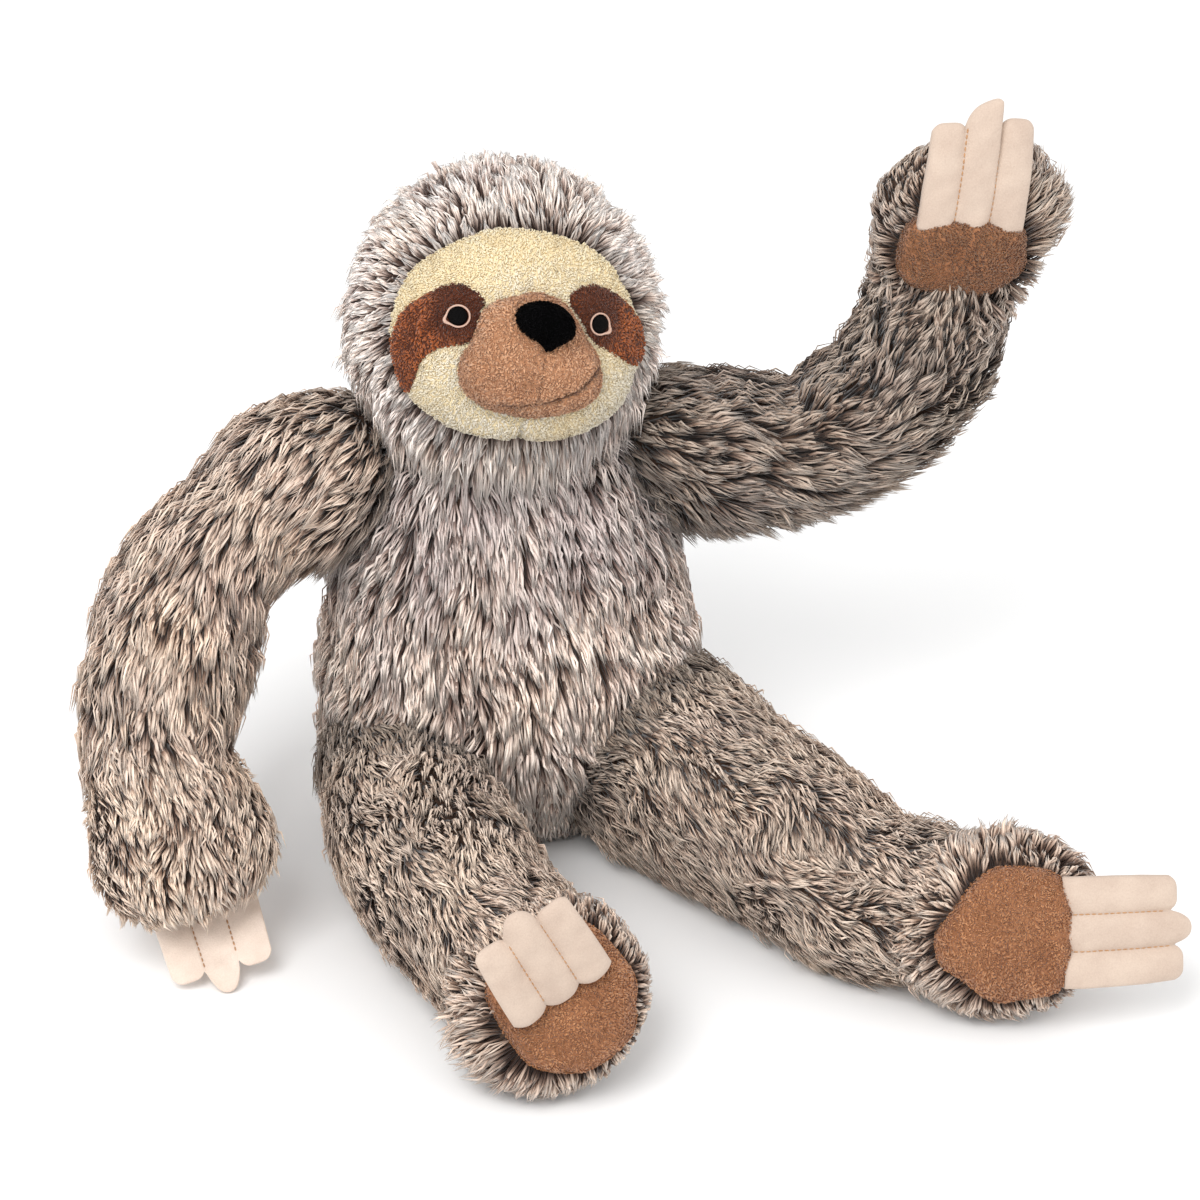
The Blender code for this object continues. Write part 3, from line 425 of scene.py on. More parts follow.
# Side, the first and last heading, how far the foot's middle lies past the ankle, its height, and the ways that
# toes and sole face.
LEGS = {
    "left": (1, (-1.3225, 68), (-1.3225, 46), 0.035, 0.04369, (0.978, -0.18, 0.03), (-0.18, -0.90, 0.42)),
    "right": (-1, (-1.6726, 87), (-1.6726, 115), 0.014, 0.0429, (-0.46, 0.51, 0.72), (-0.12, -0.80, 0.58)),
}
arms, hands, legs, feet, elbow_place = {}, {}, {}, {}, {}
for side, (sign, drop, upper, fore, hand, palm) in ARMS.items():
    upper, fore = [[heading(sign, lift - drop, swing) for lift, swing in pair] for pair in (upper, fore)]
    first = limb_points(pivots[side + "_shoulder"], UPPER_ARM, *upper, (SHOULDER, ELBOW), 0.003)
    second = limb_points(pivots[side + "_elbow"], FOREARM, *fore, (ELBOW, WRIST), 0.002)
    sleeve = Sleeve(smooth_curve(np.concatenate((first[0], second[0][1:])), np.append(first[1], second[1][1:])))
    tip = heading(sign, hand[0] - drop, hand[1])
    arms[side] = sleeve
    nearest = np.linalg.norm(sleeve.curve - pivots[side + "_elbow"], axis=1).argmin()
    elbow_place[side] = sleeve.along[nearest]
    wrist = pivots[side + "_wrist"]
    hands[side] = Paddle(wrist, WRIST, wrist + tip * HAND_REACH, tip, palm, HAND_HALVES)
for side, (sign, first, last, reach, height, toes, sole) in LEGS.items():
    ways = heading(sign, *first), heading(sign, *last)
    table = limb_points(pivots[side + "_hip"], LEG, *ways, (HIP, ANKLE), 0.002)
    legs[side] = Sleeve(smooth_curve(*table))
    centre = pivots[side + "_ankle"] + ways[1] * reach
    centre[2] = height
    feet[side] = Paddle(pivots[side + "_ankle"], ANKLE, centre, toes, sole, FOOT_HALVES)
VIEW_RIGHT, VIEW_UP = [np.array(camera.matrix_world.to_3x3().col[index]) for index in (0, 1)]

# Where a limb has settled: the middle and width of each bump as shares of the limb, then how much fuller it is
# there and how far it lies to the right and up in the picture, in mm.
SETTLED = {
    ("arm", "right"): ((0.05, 0.12, 4.0, 0, 0), (0.30, 0.14, -5.0, 2.2, -2.2), (0.66, 0.20, 0.5, 7.5, 0)),
    ("arm", "left"): ((0.08, 0.12, 3.0, 0, -2.0), (0.32, 0.12, -3.5, 0, -3.5), (0.62, 0.12, -1.5, -3.0, 3.0)),
    ("leg", "left"): ((0.10, 0.22, 8.0, 0, 0), (0.50, 0.25, 2.5, 0, 0), (0.80, 0.16, 0.5, 0, -9.0)),
    ("leg", "right"): ((0.05, 0.18, -3.0, 3.0, 0), (0.55, 0.25, 0.5, 1.5, 0)),
}
for (kind, side), bumps in SETTLED.items():
    group = arms if kind == "arm" else legs
    sleeve = group[side]
    share = sleeve.along / sleeve.along[-1]
    curve, radii = sleeve.curve, sleeve.radii
    for middle, width, fuller, right, up in bumps:
        bell = np.exp(-((share - middle) / width) ** 2) * MM
        curve = curve + np.outer(bell, right * VIEW_RIGHT + up * VIEW_UP)
        radii = radii + bell * fuller
    group[side] = Sleeve(np.column_stack((curve, radii)))

# How the stuffed paws differ from the plain ones, in mm: the paddle moved and made wider along tip, across and
# face, then the ball at the joint moved and made larger.
REFITTED = {
    "left_hand": ((-1, 5, 0), (0, 2, 0), (0, 0, 0), 0),
    "left_foot": ((0, -2, 0), (0, -3, 0), (0, -6, -4), -4),
    "right_foot": ((4, -3, 0), (-4, 0, 0), (0, 0, 0), -1),
}
for name, (moved, wider, ball_moved, ball_larger) in REFITTED.items():
    side, kind = name.split("_")
    paw = (hands if kind == "hand" else feet)[side]
    paw.refit = np.array(moved) * MM, np.array(wider) * MM
    paw.pivot, paw.ball = paw.pivot + np.array(ball_moved) * MM, paw.ball + ball_larger * MM
for side in ARMS:
    print(side, "wrist off by", np.abs(arms[side].curve[-1] - pivots[side + "_wrist"]).max(),
          "ankle off by", np.abs(legs[side].curve[-1] - pivots[side + "_ankle"]).max())

# %% [markdown]
# ## Trunk and head
# The trunk is a stack of ovals that widens from the flat seat to the belly and narrows to the neck. The head is
# a ball on top, pressed a little wider than it is deep.

# %% Trunk and head forms
TRUNK_HEIGHT, TRUNK_HALF_WIDTH, TRUNK_HALF_DEPTH = 0.215, 0.0955, 0.076
TRUNK_MEAN_RADIUS = 0.085

# Height, half width, half depth and how far back the section stands, as shares.
TRUNK_SHARES = np.array((
    (0.000, 0.00, 0.00, 0.00), (0.000, 0.63, 0.66, 0.00), (0.037, 0.82, 0.82, 0.00), (0.140, 0.95, 0.95, -0.03),
    (0.280, 1.00, 1.00, -0.05), (0.440, 0.99, 0.97, -0.05), (0.605, 0.92, 0.87, -0.01), (0.767, 0.84, 0.74, 0.05),
    (0.907, 0.70, 0.63, 0.10), (1.000, 0.57, 0.56, 0.13), (1.000, 0.00, 0.00, 0.13)))
HEAD = np.array((0.0, 0.010, 0.268))
HEAD_RADIUS = 0.077
trunk_table = TRUNK_SHARES * (TRUNK_HEIGHT, TRUNK_HALF_WIDTH, TRUNK_HALF_DEPTH, TRUNK_HALF_DEPTH)
trunk_table = smooth_curve(trunk_table[:, :3], trunk_table[:, 3], 80, 3)


def trunk_tuck(height):
    """The share by which the front draws in under the belly, where the thighs meet."""
    return 0.24 * ease((0.075 - height) / 0.065)


def trunk_form(inset):
    """S(u, v): an oval of the sizes that the table gives at v, at its height and set back."""
    shares = np.linspace(0, 1, len(trunk_table))

    def surface(u, v):
        height, wide, deep, back = [np.interp(v, shares, column) for column in trunk_table.T]
        angle = 2 * np.pi * u
        shrink = 1 - inset / TRUNK_MEAN_RADIUS
        height = inset + height * (1 - 2 * inset / TRUNK_HEIGHT)
        drawn = 1 - trunk_tuck(height) * (np.sin(angle) < 0)
        across, onward = wide * shrink * np.cos(angle), back + deep * shrink * drawn * np.sin(angle)
        return np.stack((across, onward, height), -1)
    return surface


def trunk_depth(points):
    """How far points lie outside the trunk, negative inside."""
    heights, order = trunk_table[:, 0], np.argsort(trunk_table[:, 0], kind="stable")
    wide, deep, back = [np.interp(points[:, 2], heights[order], column[order]) for column in trunk_table.T[1:]]
    wide, deep = np.maximum(wide, 0.01), np.maximum(deep, 0.01)
    deep = deep * (1 - trunk_tuck(points[:, 2]) * (points[:, 1] < back))
    ratio = np.hypot(points[:, 0] / wide, (points[:, 1] - back) / deep)
    side = (ratio - 1) * np.minimum(wide, deep)
    over = np.maximum(-points[:, 2], points[:, 2] - TRUNK_HEIGHT)
    return np.maximum(side, over)


def head_form(inset):
    """S(u, v) = centre + r B(u, v), where B is the unit ball."""
    def surface(u, v):
        return HEAD + (HEAD_RADIUS - inset) * on_ball(u, v)
    return surface


def head_depth(points):
    """How far points lie outside the head, negative inside."""
    return np.linalg.norm(points - HEAD, axis=-1) - HEAD_RADIUS


# %% [markdown]
# ## Fur colours
# Each lock is dark brown at its root and pale at its tip. Some areas are creamy and others mauve-grey, as on
# the real toy. The map named lock runs along each lock, and the tone attribute holds the lock's own share of
# pale, the area's warmth and its shade, which numpy works out when the fur is laid. Besides random tone, the
# shade holds painted shade: darker locks in creases beside other forms and in the partings between clumps.

# %% Fur and backing finishes


def fur_finish(name, warm_stops, cool_stops, roughness=0.68, sheen=0.25, streak=0.40, gloss=0.12):
    """Two ramps along the lock, mixed by warmth, with fine streaks and a tone for each lock."""
    made, shader, start = new_material(name, roughness, sheen, gloss)
    split = start.node("ShaderNodeSeparateXYZ", links={0: start.node("ShaderNodeUVMap", {"uv_map": "lock"})})
    across, along = [Wire(split.socket.node.outputs[index]) for index in range(2)]
    tone = start.node("ShaderNodeAttribute", {"attribute_name": "tone"}, out=1)
    parts = start.node("ShaderNodeSeparateXYZ", links={0: tone})
    pale, warmth, shade = [Wire(parts.socket.node.outputs[index]) for index in range(3)]
    lane = start.node("ShaderNodeCombineXYZ", links={0: across * 5.0 + pale * 197.0, 1: along * 0.7})
    streaks = start.node("ShaderNodeTexNoise", links={"Vector": lane, "Scale": 2.5, "Detail": 1.0})
    place = along + (pale - 0.5) * 0.62 + (streaks - 0.5) * streak
    warm = start.node("ShaderNodeValToRGB", {"stops": warm_stops}, {0: place})
    cool = start.node("ShaderNodeValToRGB", {"stops": cool_stops}, {0: place})
    # The shade level darkens the colour; besides random tone it carries painted shade of creases and partings.
    level = start.node("ShaderNodeCombineXYZ", links={0: shade, 1: shade, 2: shade})
    colour = cool.tint(warmth, warm).tint(1.0, level, "MULTIPLY")
    start.tree.links.new(colour.socket, shader.inputs["Base Color"])
    return made


def ramp(places, *colours):
    """Stops of a ramp from places and display colours."""
    return [(place, linear(*colour)) for place, colour in zip(places, colours)]


FUR_PLACES = (0.14, 0.36, 0.56, 0.92)
fur = {
    "torso": fur_finish("torso_fur_locks",
                        ramp(FUR_PLACES, (82, 57, 45), (176, 149, 132), (244, 222, 205), (255, 243, 230)),
                        ramp(FUR_PLACES, (84, 62, 56), (164, 141, 134), (222, 204, 198), (242, 229, 223))),
    "limb": fur_finish("limb_fur_locks",
                       ramp(FUR_PLACES, (66, 43, 31), (154, 124, 104), (226, 200, 178), (246, 226, 206)),
                       ramp(FUR_PLACES, (60, 40, 32), (136, 111, 98), (196, 172, 157), (224, 205, 191))),
    "head": fur_finish("head_fur_locks",
                       ramp(FUR_PLACES, (86, 61, 50), (188, 164, 148), (246, 230, 216), (255, 247, 238)),
                       ramp(FUR_PLACES, (92, 70, 62), (186, 166, 158), (240, 225, 217), (253, 245, 240))),
}


def backing_finish():
    """The woven ground between the locks: dark brown, with soft patches and a fine knobbly bump."""
    made, shader, start = new_material("fur_backing", 0.95)
    place = start.node("ShaderNodeTexCoord", out=3)
    patches = start.node("ShaderNodeTexNoise", links={"Vector": place, "Scale": 90.0, "Detail": 3.0})
    colour = start.node("ShaderNodeValToRGB", {"stops": ramp((0.3, 0.7), (58, 42, 34), (98, 78, 66))},
                        {0: patches})
    knobs = start.node("ShaderNodeTexNoise", links={"Vector": place, "Scale": 700.0, "Detail": 2.0})
    bump = start.node("ShaderNodeBump", links={"Strength": 0.6, "Distance": 0.001, "Height": knobs})
    start.tree.links.new(colour.socket, shader.inputs["Base Color"])
    start.tree.links.new(bump.socket, shader.inputs["Normal"])
    return made


backing = backing_finish()

# %% [markdown]
# ## Laying fur
# Hair curves would not survive in the exported mesh, so each lock is a real tapered wisp: two rings of three
# points and a tip, ten triangles in all. Roots are spread evenly by area with a low-discrepancy sequence. Locks
# are drawn together in long narrow clumps, whose edges are shorter and darker: painted shade in the partings,
# with the dark roots that show there. Larger tufts lean their own way, so the pile parts between them as combed
# plush does.

# %% Lock roots
# Steps of the two-dimensional low-discrepancy sequence: 1/g and 1/g^2 with g^3 = g + 1, g = 1.3247.
SEQUENCE_STEPS = (0.7548776662, 0.5698402910)


def frames_on(form, u, v):
    """Points of a form with their outward normals and their direction towards the last pole."""
    step = 0.002
    low, high = np.clip(v - step, 0, 1), np.clip(v + step, 0, 1)
    place = form(u, v)
    around = form(u + step, v) - form(u - step, v)
    onward = form(u, high) - form(u, low)
    return place, unit(np.cross(around, onward)), unit(onward)


def even_roots(form, count, seed):
    """Evenly spread (u, v): the sums of the cells' areas, inverted for each term of a jittered sequence."""
    across, along = 90, 90
    u, v = np.meshgrid((np.arange(across) + 0.5) / across, (np.arange(along) + 0.5) / along)
    around = form(u + 0.5 / across, v) - form(u - 0.5 / across, v)
    onward = form(u, v + 0.5 / along) - form(u, v - 0.5 / along)
    area = np.linalg.norm(np.cross(around, onward), axis=-1)
    rows = np.cumsum(area.sum(1))
    cells = np.cumsum(area.ravel())
    index = np.arange(1, count + 1) + 7919 * seed
    jitter = np.random.default_rng(seed).uniform(-0.4, 0.4, (2, count)) / np.sqrt(count)
    first, second = np.mod(0.5 + np.outer(SEQUENCE_STEPS, index) + jitter, 1)
    row = np.minimum(np.searchsorted(rows, first * rows[-1]), along - 1)
    base = np.append(0.0, rows)[row]
    within_row = (first * rows[-1] - base) / (rows[row] - base)
    goal = base + second * (rows[row] - base)
    cell = np.clip(np.searchsorted(cells, goal), row * across, row * across + across - 1)
    before = np.append(0.0, cells)[cell]
    within_cell = (goal - before) / (cells[cell] - before)
    return (cell - row * across + within_cell) / across, (row + within_row) / along, rows[-1]


def nearest_clump(points, centres, sides, stretch):
    """Index of each point's nearest centre, and how far it is, where steps across the flow count for more."""
    found, gaps = [], []
    along_sides = (centres * sides).sum(1)
    for block in np.array_split(points, max(1, len(points) // 1500)):
        gap = (centres ** 2).sum(1) - 2 * block @ centres.T + (block ** 2).sum(1)[:, None]
        gap = gap + (stretch ** 2 - 1) * (block @ sides.T - along_sides) ** 2
        found.append(gap.argmin(1))
        gaps.append(gap.min(1))
    return np.concatenate(found), np.sqrt(np.maximum(np.concatenate(gaps), 0))


# %% The lock itself
TIP = 6
LOCK_HEIGHTS = np.array((0.0, 0.0, 0.0, 0.5, 0.5, 0.5, 1.0))
LOCK_FACES, COLUMNS = [(2, 1, 0)], [(2, 1, 0)]
for edge in range(3):
    after = (edge + 1) % 3
    LOCK_FACES += [(edge, after, 3 + after), (edge, 3 + after, 3 + edge), (3 + edge, 3 + after, TIP)]
    COLUMNS += [(edge, edge + 1, edge + 1), (edge, edge + 1, edge), (edge, edge + 1, edge + 0.5)]
LOCK_FACES, COLUMNS = np.array(LOCK_FACES), np.array(COLUMNS, float)


def lock_maps(count):
    """The lock map (across, along) and the map OFBake, where each lock has its own cell of a square grid."""
    lock = np.stack((COLUMNS / 3, LOCK_HEIGHTS[LOCK_FACES]), -1)
    cell = (0.06, 0.16) + lock * (0.88, 0.78)
    cell[0] = ((0.06, 0.03), (0.94, 0.03), (0.5, 0.12))
    grid = int(np.ceil(np.sqrt(count)))
    index = np.arange(count)
    corners = np.stack((index % grid, index // grid), 1) / grid
    baked = corners[:, None] + cell.reshape(-1, 2) / grid
    return {"lock": np.tile(lock.reshape(-1, 2), (count, 1)), "OFBake": baked.reshape(-1, 2)}


LOCK_POINTS = len(LOCK_HEIGHTS)
LARGEST_PULL, FLOOR_GAP, PROUD_SHARE = 8 * MM, 0.4 * MM, 0.16
LOCKS_LAID = []


def lay_fur(name, form, spacing, length, flow, finish, seed, lift=52.0, width=1.20 * MM, bare=None, warm=0.5,
            swirl=0.45, swirl_size=0.030, clump=0.66, droop=0.70, weight=0.20, shade=None, group=12,
            tousle=0.20, stretch=2.4, hang=None, edge_dark=0.30, mottle=0.22, uneven=1.0):
    """Locks on a form. Point(s) = root + L (s cos(lift) flow + (s - droop s^2) sin(lift) normal)
    - L weight s^2 up, turned towards straight down by hang, with its outer part drawn to the clump's tip."""
    random = np.random.default_rng(seed)
    total = even_roots(form, 8, seed)[2]
    u, v, _ = even_roots(form, int(total / spacing ** 2), seed)
    root, normal, onward = frames_on(form, u, v)
    if bare is not None:
        keep = ~bare(root)
        root, normal, onward = root[keep], normal[keep], onward[keep]
    count = len(root)
    way = flow(root, normal, onward)
    way = unit(way - normal * (way * normal).sum(1, keepdims=True))
    tufts = max(4, count // 70)
    tuft, _ = nearest_clump(root, root[:tufts], np.cross(normal, way)[:tufts], 1.5)
    turn = swirl * waves(root, swirl_size, seed + 1) + 0.35 * swirl * waves(root, swirl_size / 3, seed + 2)
    turn = turn + random.normal(0, 0.12, count) + tousle * random.normal(0, 1, tufts)[tuft]
    way = way * np.cos(turn)[:, None] + np.cross(normal, way) * np.sin(turn)[:, None]
    side = np.cross(normal, way)
    clumps = max(4, count // group)
    nearest, gap = nearest_clump(root, root[:clumps], side[:clumps], stretch)
    edge = np.clip(gap / (spacing * np.sqrt(group * stretch / np.pi)), 0, 1.4) ** 2
    clump_chance = random.uniform(0, 1, clumps)[nearest]
    reach = length(root) if callable(length) else np.full(count, length)
    reach = reach * (0.84 + 0.32 * clump_chance) * random.uniform(0.80, 1.20, count) * (1.06 - 0.14 * edge)
    proud = random.uniform(0, 1, count) < PROUD_SHARE
    reach = reach * (1 + 0.16 * proud)
    raised = np.radians(lift) * (0.78 + 0.44 * random.uniform(0, 1, clumps)[nearest]) * (1 - 0.10 * edge)
    raised = raised * (0.94 + 0.30 * proud)
    raised = raised * (1 + 0.18 * random.normal(0, 1, tufts)[tuft])
    share = np.array((0.0, 0.5, 1.0))[:, None, None]
    rise = (share - droop * share ** 2) * np.sin(raised)[:, None]
    line = share * np.cos(raised)[:, None] * way + rise * normal
    if hang is not None:
        loose = hang(root)[:, None]
        line = line * (1 - loose) + share * loose * np.array((0, 0, -1.0))
    below = weight * (0.35 + 0.65 * np.clip(-normal[:, 2:], 0, 1))
    line = root + reach[:, None] * (line - share ** 2 * below * np.array((0, 0, 1.0)))
    pull = line[2, nearest] - line[2]
    apart = np.linalg.norm(pull, axis=1, keepdims=True)
    line = line + clump * share ** 1.3 * pull * np.minimum(1, LARGEST_PULL / np.maximum(apart, 1e-9))
    line = line + np.sin(np.pi * share) * random.normal(0, 0.05, count)[:, None] * reach[:, None] * side
    corner = 2 * np.pi * (np.arange(3) / 3 + 1 / 12)
    thick = (width * random.uniform(0.70, 1.25, count) * (1 + 0.25 * proud))[:, None, None] / 2
    ring = side[:, None] * np.cos(corner)[:, None] + 0.55 * normal[:, None] * np.sin(corner)[:, None]
    points = np.concatenate((line[0][:, None] + 0.8 * ring * thick, line[1][:, None] + ring * thick,
                             line[2][:, None]), 1)
    points[..., 2] = np.maximum(points[..., 2], FLOOR_GAP)
    faces = (np.arange(count)[:, None, None] * LOCK_POINTS + LOCK_FACES).reshape(-1, 3)
    warmth = warm(root) if callable(warm) else np.full(count, warm)
    warmth = np.clip(warmth + mottle * waves(root, 0.040, seed + 3) + random.normal(0, 0.08, count), 0, 1)
    level = shade(root) if callable(shade) else np.full(count, shade or 1.0)
    # Locks at a clump's edge are darker and less pale: painted shade in the partings, with the dark roots there.
    level = level * (1 + uneven * (0.16 * clump_chance - 0.10)) * (1.05 - edge_dark * edge)
    level = level * (1 + uneven * random.uniform(-0.12, 0.10, count))
    pale = 0.34 * random.uniform(0, 1, count) + 0.34 * random.uniform(0, 1, clumps)[nearest]
    pale = np.clip(pale + 0.36 * (1.15 - edge) + 0.16 * waves(root, 0.022, seed + 4), 0, 1)
    tone = np.stack((pale, warmth, np.clip(level, 0.2, 1.25)), 1)
    made = new_piece(name, points.reshape(-1, 3), [faces], finish, lock_maps(count),
                     {"tone": np.repeat(tone, LOCK_POINTS, 0)})
    LOCKS_LAID.append(count)
    print(name, count, "locks,", len(faces), "triangles")
    return made


# %% [markdown]
# ## The limbs
# The backing cloth of a limb lies just inside the finished outline, because the fur stands out from it.
# Shoulders and hips are balls that turn in the trunk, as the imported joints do.

# %% Limb helpers
BACKING_INSET = 3.5 * MM


def buried(points, depths, limit):
    """True where points lie deeper than a limit inside any of the other forms."""
    return np.min([depth(points) for depth in depths], 0) < -limit


def bend(item, parent, child, pivot, way, reach):
    """Bake the piece's transform into its mesh."""
    tuple(pivot - way * reach)
    tuple(pivot + way * reach)
    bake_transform(item)


def attach(body, slot, *items):
    """Let pieces ride a body; the slot is not used."""
    for item in items:
        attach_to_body(item, body)


def dress(item, slot, *nodes):
    """Hide the imported parts that a stuffed piece stands for; the piece and the slot are not used."""
    if nodes:
        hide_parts(*nodes)


def along_limb(down):
    """The flow on a limb: towards its paw, drawn down a little by its own weight."""
    def flow(root, normal, onward):
        return onward + np.array((0, 0, -down))
    return flow


def bare_between(sleeve, low, high, others):
    """True away from a stretch of a limb, and where another form covers the root."""
    def bare(root):
        place = sleeve.along[np.linalg.norm(root[:, None] - sleeve.curve, axis=-1).argmin(1)]
        return (place < low) | (place >= high) | buried(root, others, 7 * MM) | (root[:, 2] < 3 * MM)
    return bare


def crease_shade(level, others, depth=0.5, reach=0.016):
    """Painted shade: the fibres are darker where they lie against another form; they also vary in soft patches."""
    def shade(root):
        gap = np.min([other(root) for other in others], 0)
        return level * (1 - depth * (1 - ease(gap / reach))) * (1 + 0.08 * waves(root, 0.028, 77))
    return shade


# %% Arms
ARM_SPACING = 1.85 * MM
ELBOW_REACH, WRIST_REACH = 0.028, 0.024

# Length of the locks, warmth, shade, how far their own weight draws them down, and how dark a clump's edge is,
# which paints shade into the partings.
ARM_LOOKS = {"right": (22 * MM, 0.52, 1.09, 0.30, 0.24), "left": (21 * MM, 0.50, 0.69, 0.10, 0.50)}
for side, sleeve in arms.items():
    elbow, whole = elbow_place[side], sleeve.along[-1]
    upper_end, fore_middle = elbow - 0.040, elbow + 0.040
    length, warm, level, down, edge_dark = ARM_LOOKS[side]
    for number, (part, first, last, low, high) in enumerate((
            ("upper_arm", 0.0, upper_end, -1, upper_end),
            ("elbow", upper_end - 0.022, fore_middle, upper_end, fore_middle),
            ("wrist", fore_middle - 0.022, whole - 0.01, fore_middle, whole + 1))):
        form = sleeve.form(first, last, BACKING_INSET)
        skin = closed_skin(f"{side}_{part}_backing", form, 40, 40, backing)
        bare = bare_between(sleeve, low, high, [trunk_depth, head_depth, hands[side].depth])
        # Near trunk and head the locks are darkened with painted shade of the creases.
        hair = lay_fur(f"{side}_{part}_fur", form, ARM_SPACING, length, along_limb(down), fur["limb"],
                       11 + number * 3 + (40 if side == "right" else 0), bare=bare, warm=warm, swirl=0.30,
                       swirl_size=0.042, tousle=0.11, lift=41.0, stretch=3.2, weight=0.30,
                       shade=crease_shade(level, [trunk_depth, head_depth]), edge_dark=edge_dark)
        for item in (skin, hair):
            if part == "upper_arm":
                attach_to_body(item, side + "_upper_arm")
            elif part == "elbow":
                bend(item, side + "_upper_arm", side + "_forearm", pivots[side + "_elbow"],
                     unit(sleeve.at(sleeve.tangent, elbow)), ELBOW_REACH)
            else:
                bend(item, side + "_forearm", side + "_hand", pivots[side + "_wrist"], hands[side].tip,
                     WRIST_REACH)
        node = {"upper_arm": "_upper_arm", "elbow": "_forearm"}.get(part)
        dress(skin, "limb_fur", *([side + node + "_skin", side + node + "_stuffing"] if node else []))

# %% Legs
LEG_SPACING, LEG_LENGTH, ANKLE_REACH = 1.75 * MM, 18 * MM, 0.026
for side, sleeve in legs.items():
    whole = sleeve.along[-1]
    middle = whole * 0.55
    for number, (part, first, last, low, high) in enumerate((
            ("thigh", 0.0, middle, -1, middle), ("shin", middle - 0.02, whole - 0.01, middle, whole + 1))):
        form = sleeve.form(first, last, BACKING_INSET)
        skin = closed_skin(f"{side}_{part}_backing", form, 44, 40, backing)
        # Where the thigh meets the trunk its locks are darkened with painted shade of the crease.
        hair = lay_fur(f"{side}_{part}_fur", form, LEG_SPACING, LEG_LENGTH, along_limb(0.15), fur["limb"],
                       71 + number * 3 + (40 if side == "right" else 0),
                       bare=bare_between(sleeve, low, high, [trunk_depth, feet[side].depth]), warm=0.62,
                       swirl=0.42, swirl_size=0.042, tousle=0.13, lift=44.0, weight=0.22, stretch=2.8, group=7,
                       clump=0.55, width=1.08 * MM, edge_dark=0.30,
                       shade=crease_shade(0.94, [trunk_depth], 0.5, 0.018))
        for item in (skin, hair):
            if part == "thigh":
                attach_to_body(item, side + "_leg")
            else:
                bend(item, side + "_leg", side + "_foot", pivots[side + "_ankle"], unit(sleeve.tangent[-1]),
                     ANKLE_REACH)
        dress(skin, "limb_fur", *([side + "_leg_skin", side + "_leg_stuffing"] if part == "thigh" else []))

# %% [markdown]
# ## Hands and feet
# A paw is a flat mitten with a domed pad sewn to its palm or sole, and a quilted strip of three felt claws that
# starts under the pad's edge. Fur grows away from the pad all round. There is none under the pad or where the
# claws lie on the face of the paw, and short fur stands behind the claws' tips.

# %% Paws
# Middle, half length and half width of the pads, in the paw's own directions.
PALM_PAD = (-0.016, 0.0215, 0.031)
SOLE_PAD = (0.0, 0.032, 0.031)
PAD_HALF, PAD_RISE, PILE_DEPTH = 13 * MM, 6.3 * MM, 5 * MM
CLAW_HALF = 0.022
EGG_LEAN = 0.35

# Start along the tip, length, lift off the surface, fold in degrees, curl, the lengths of the three channels as
# shares, and how deep the tips at the root are scalloped.
CLAWS = {
    "left_hand": (0.000, 0.062, 0.0, 0.0, 7 * MM, (0.82, 1.0, 0.87), 0.0),
    "right_hand": (0.000, 0.072, 0.0, 0.0, 14 * MM, (0.86, 1.0, 0.88), 0.0),
    "left_foot": (0.027, 0.060, 0.0, 0.0, 6 * MM, (0.89, 1.0, 0.93), 0.0),
    "right_foot": (0.005, 0.054, 8.0 * MM, 42.0, 5 * MM, (0.84, 1.0, 0.86), 4 * MM),
}

# Heights of the claws and of the pad above the paw's middle.
SURFACES = {"left_hand": (0.0228, 0.0262), "right_hand": (0.02422, 0.0262),
            "left_foot": (0.0194, 0.0235), "right_foot": (0.0241, 0.0235)}

# How much narrower a pad is at its heel.
EGGS = {"left_foot": 0.38}

# Length of the locks, warmth, shade, and the side on which they are longer, as shares along tip and across.
PAW_LOOKS = {
    "left_hand": (18 * MM, 0.45, 0.82, (-0.15, 0.35)),
    "right_hand": (16 * MM, 0.70, 1.06, (0.0, 0.10)),
    "left_foot": (17 * MM, 0.45, 1.06, (-0.10, -0.15)),
    "right_foot": (17 * MM, 0.45, 1.06, (0.50, -0.30)),
}


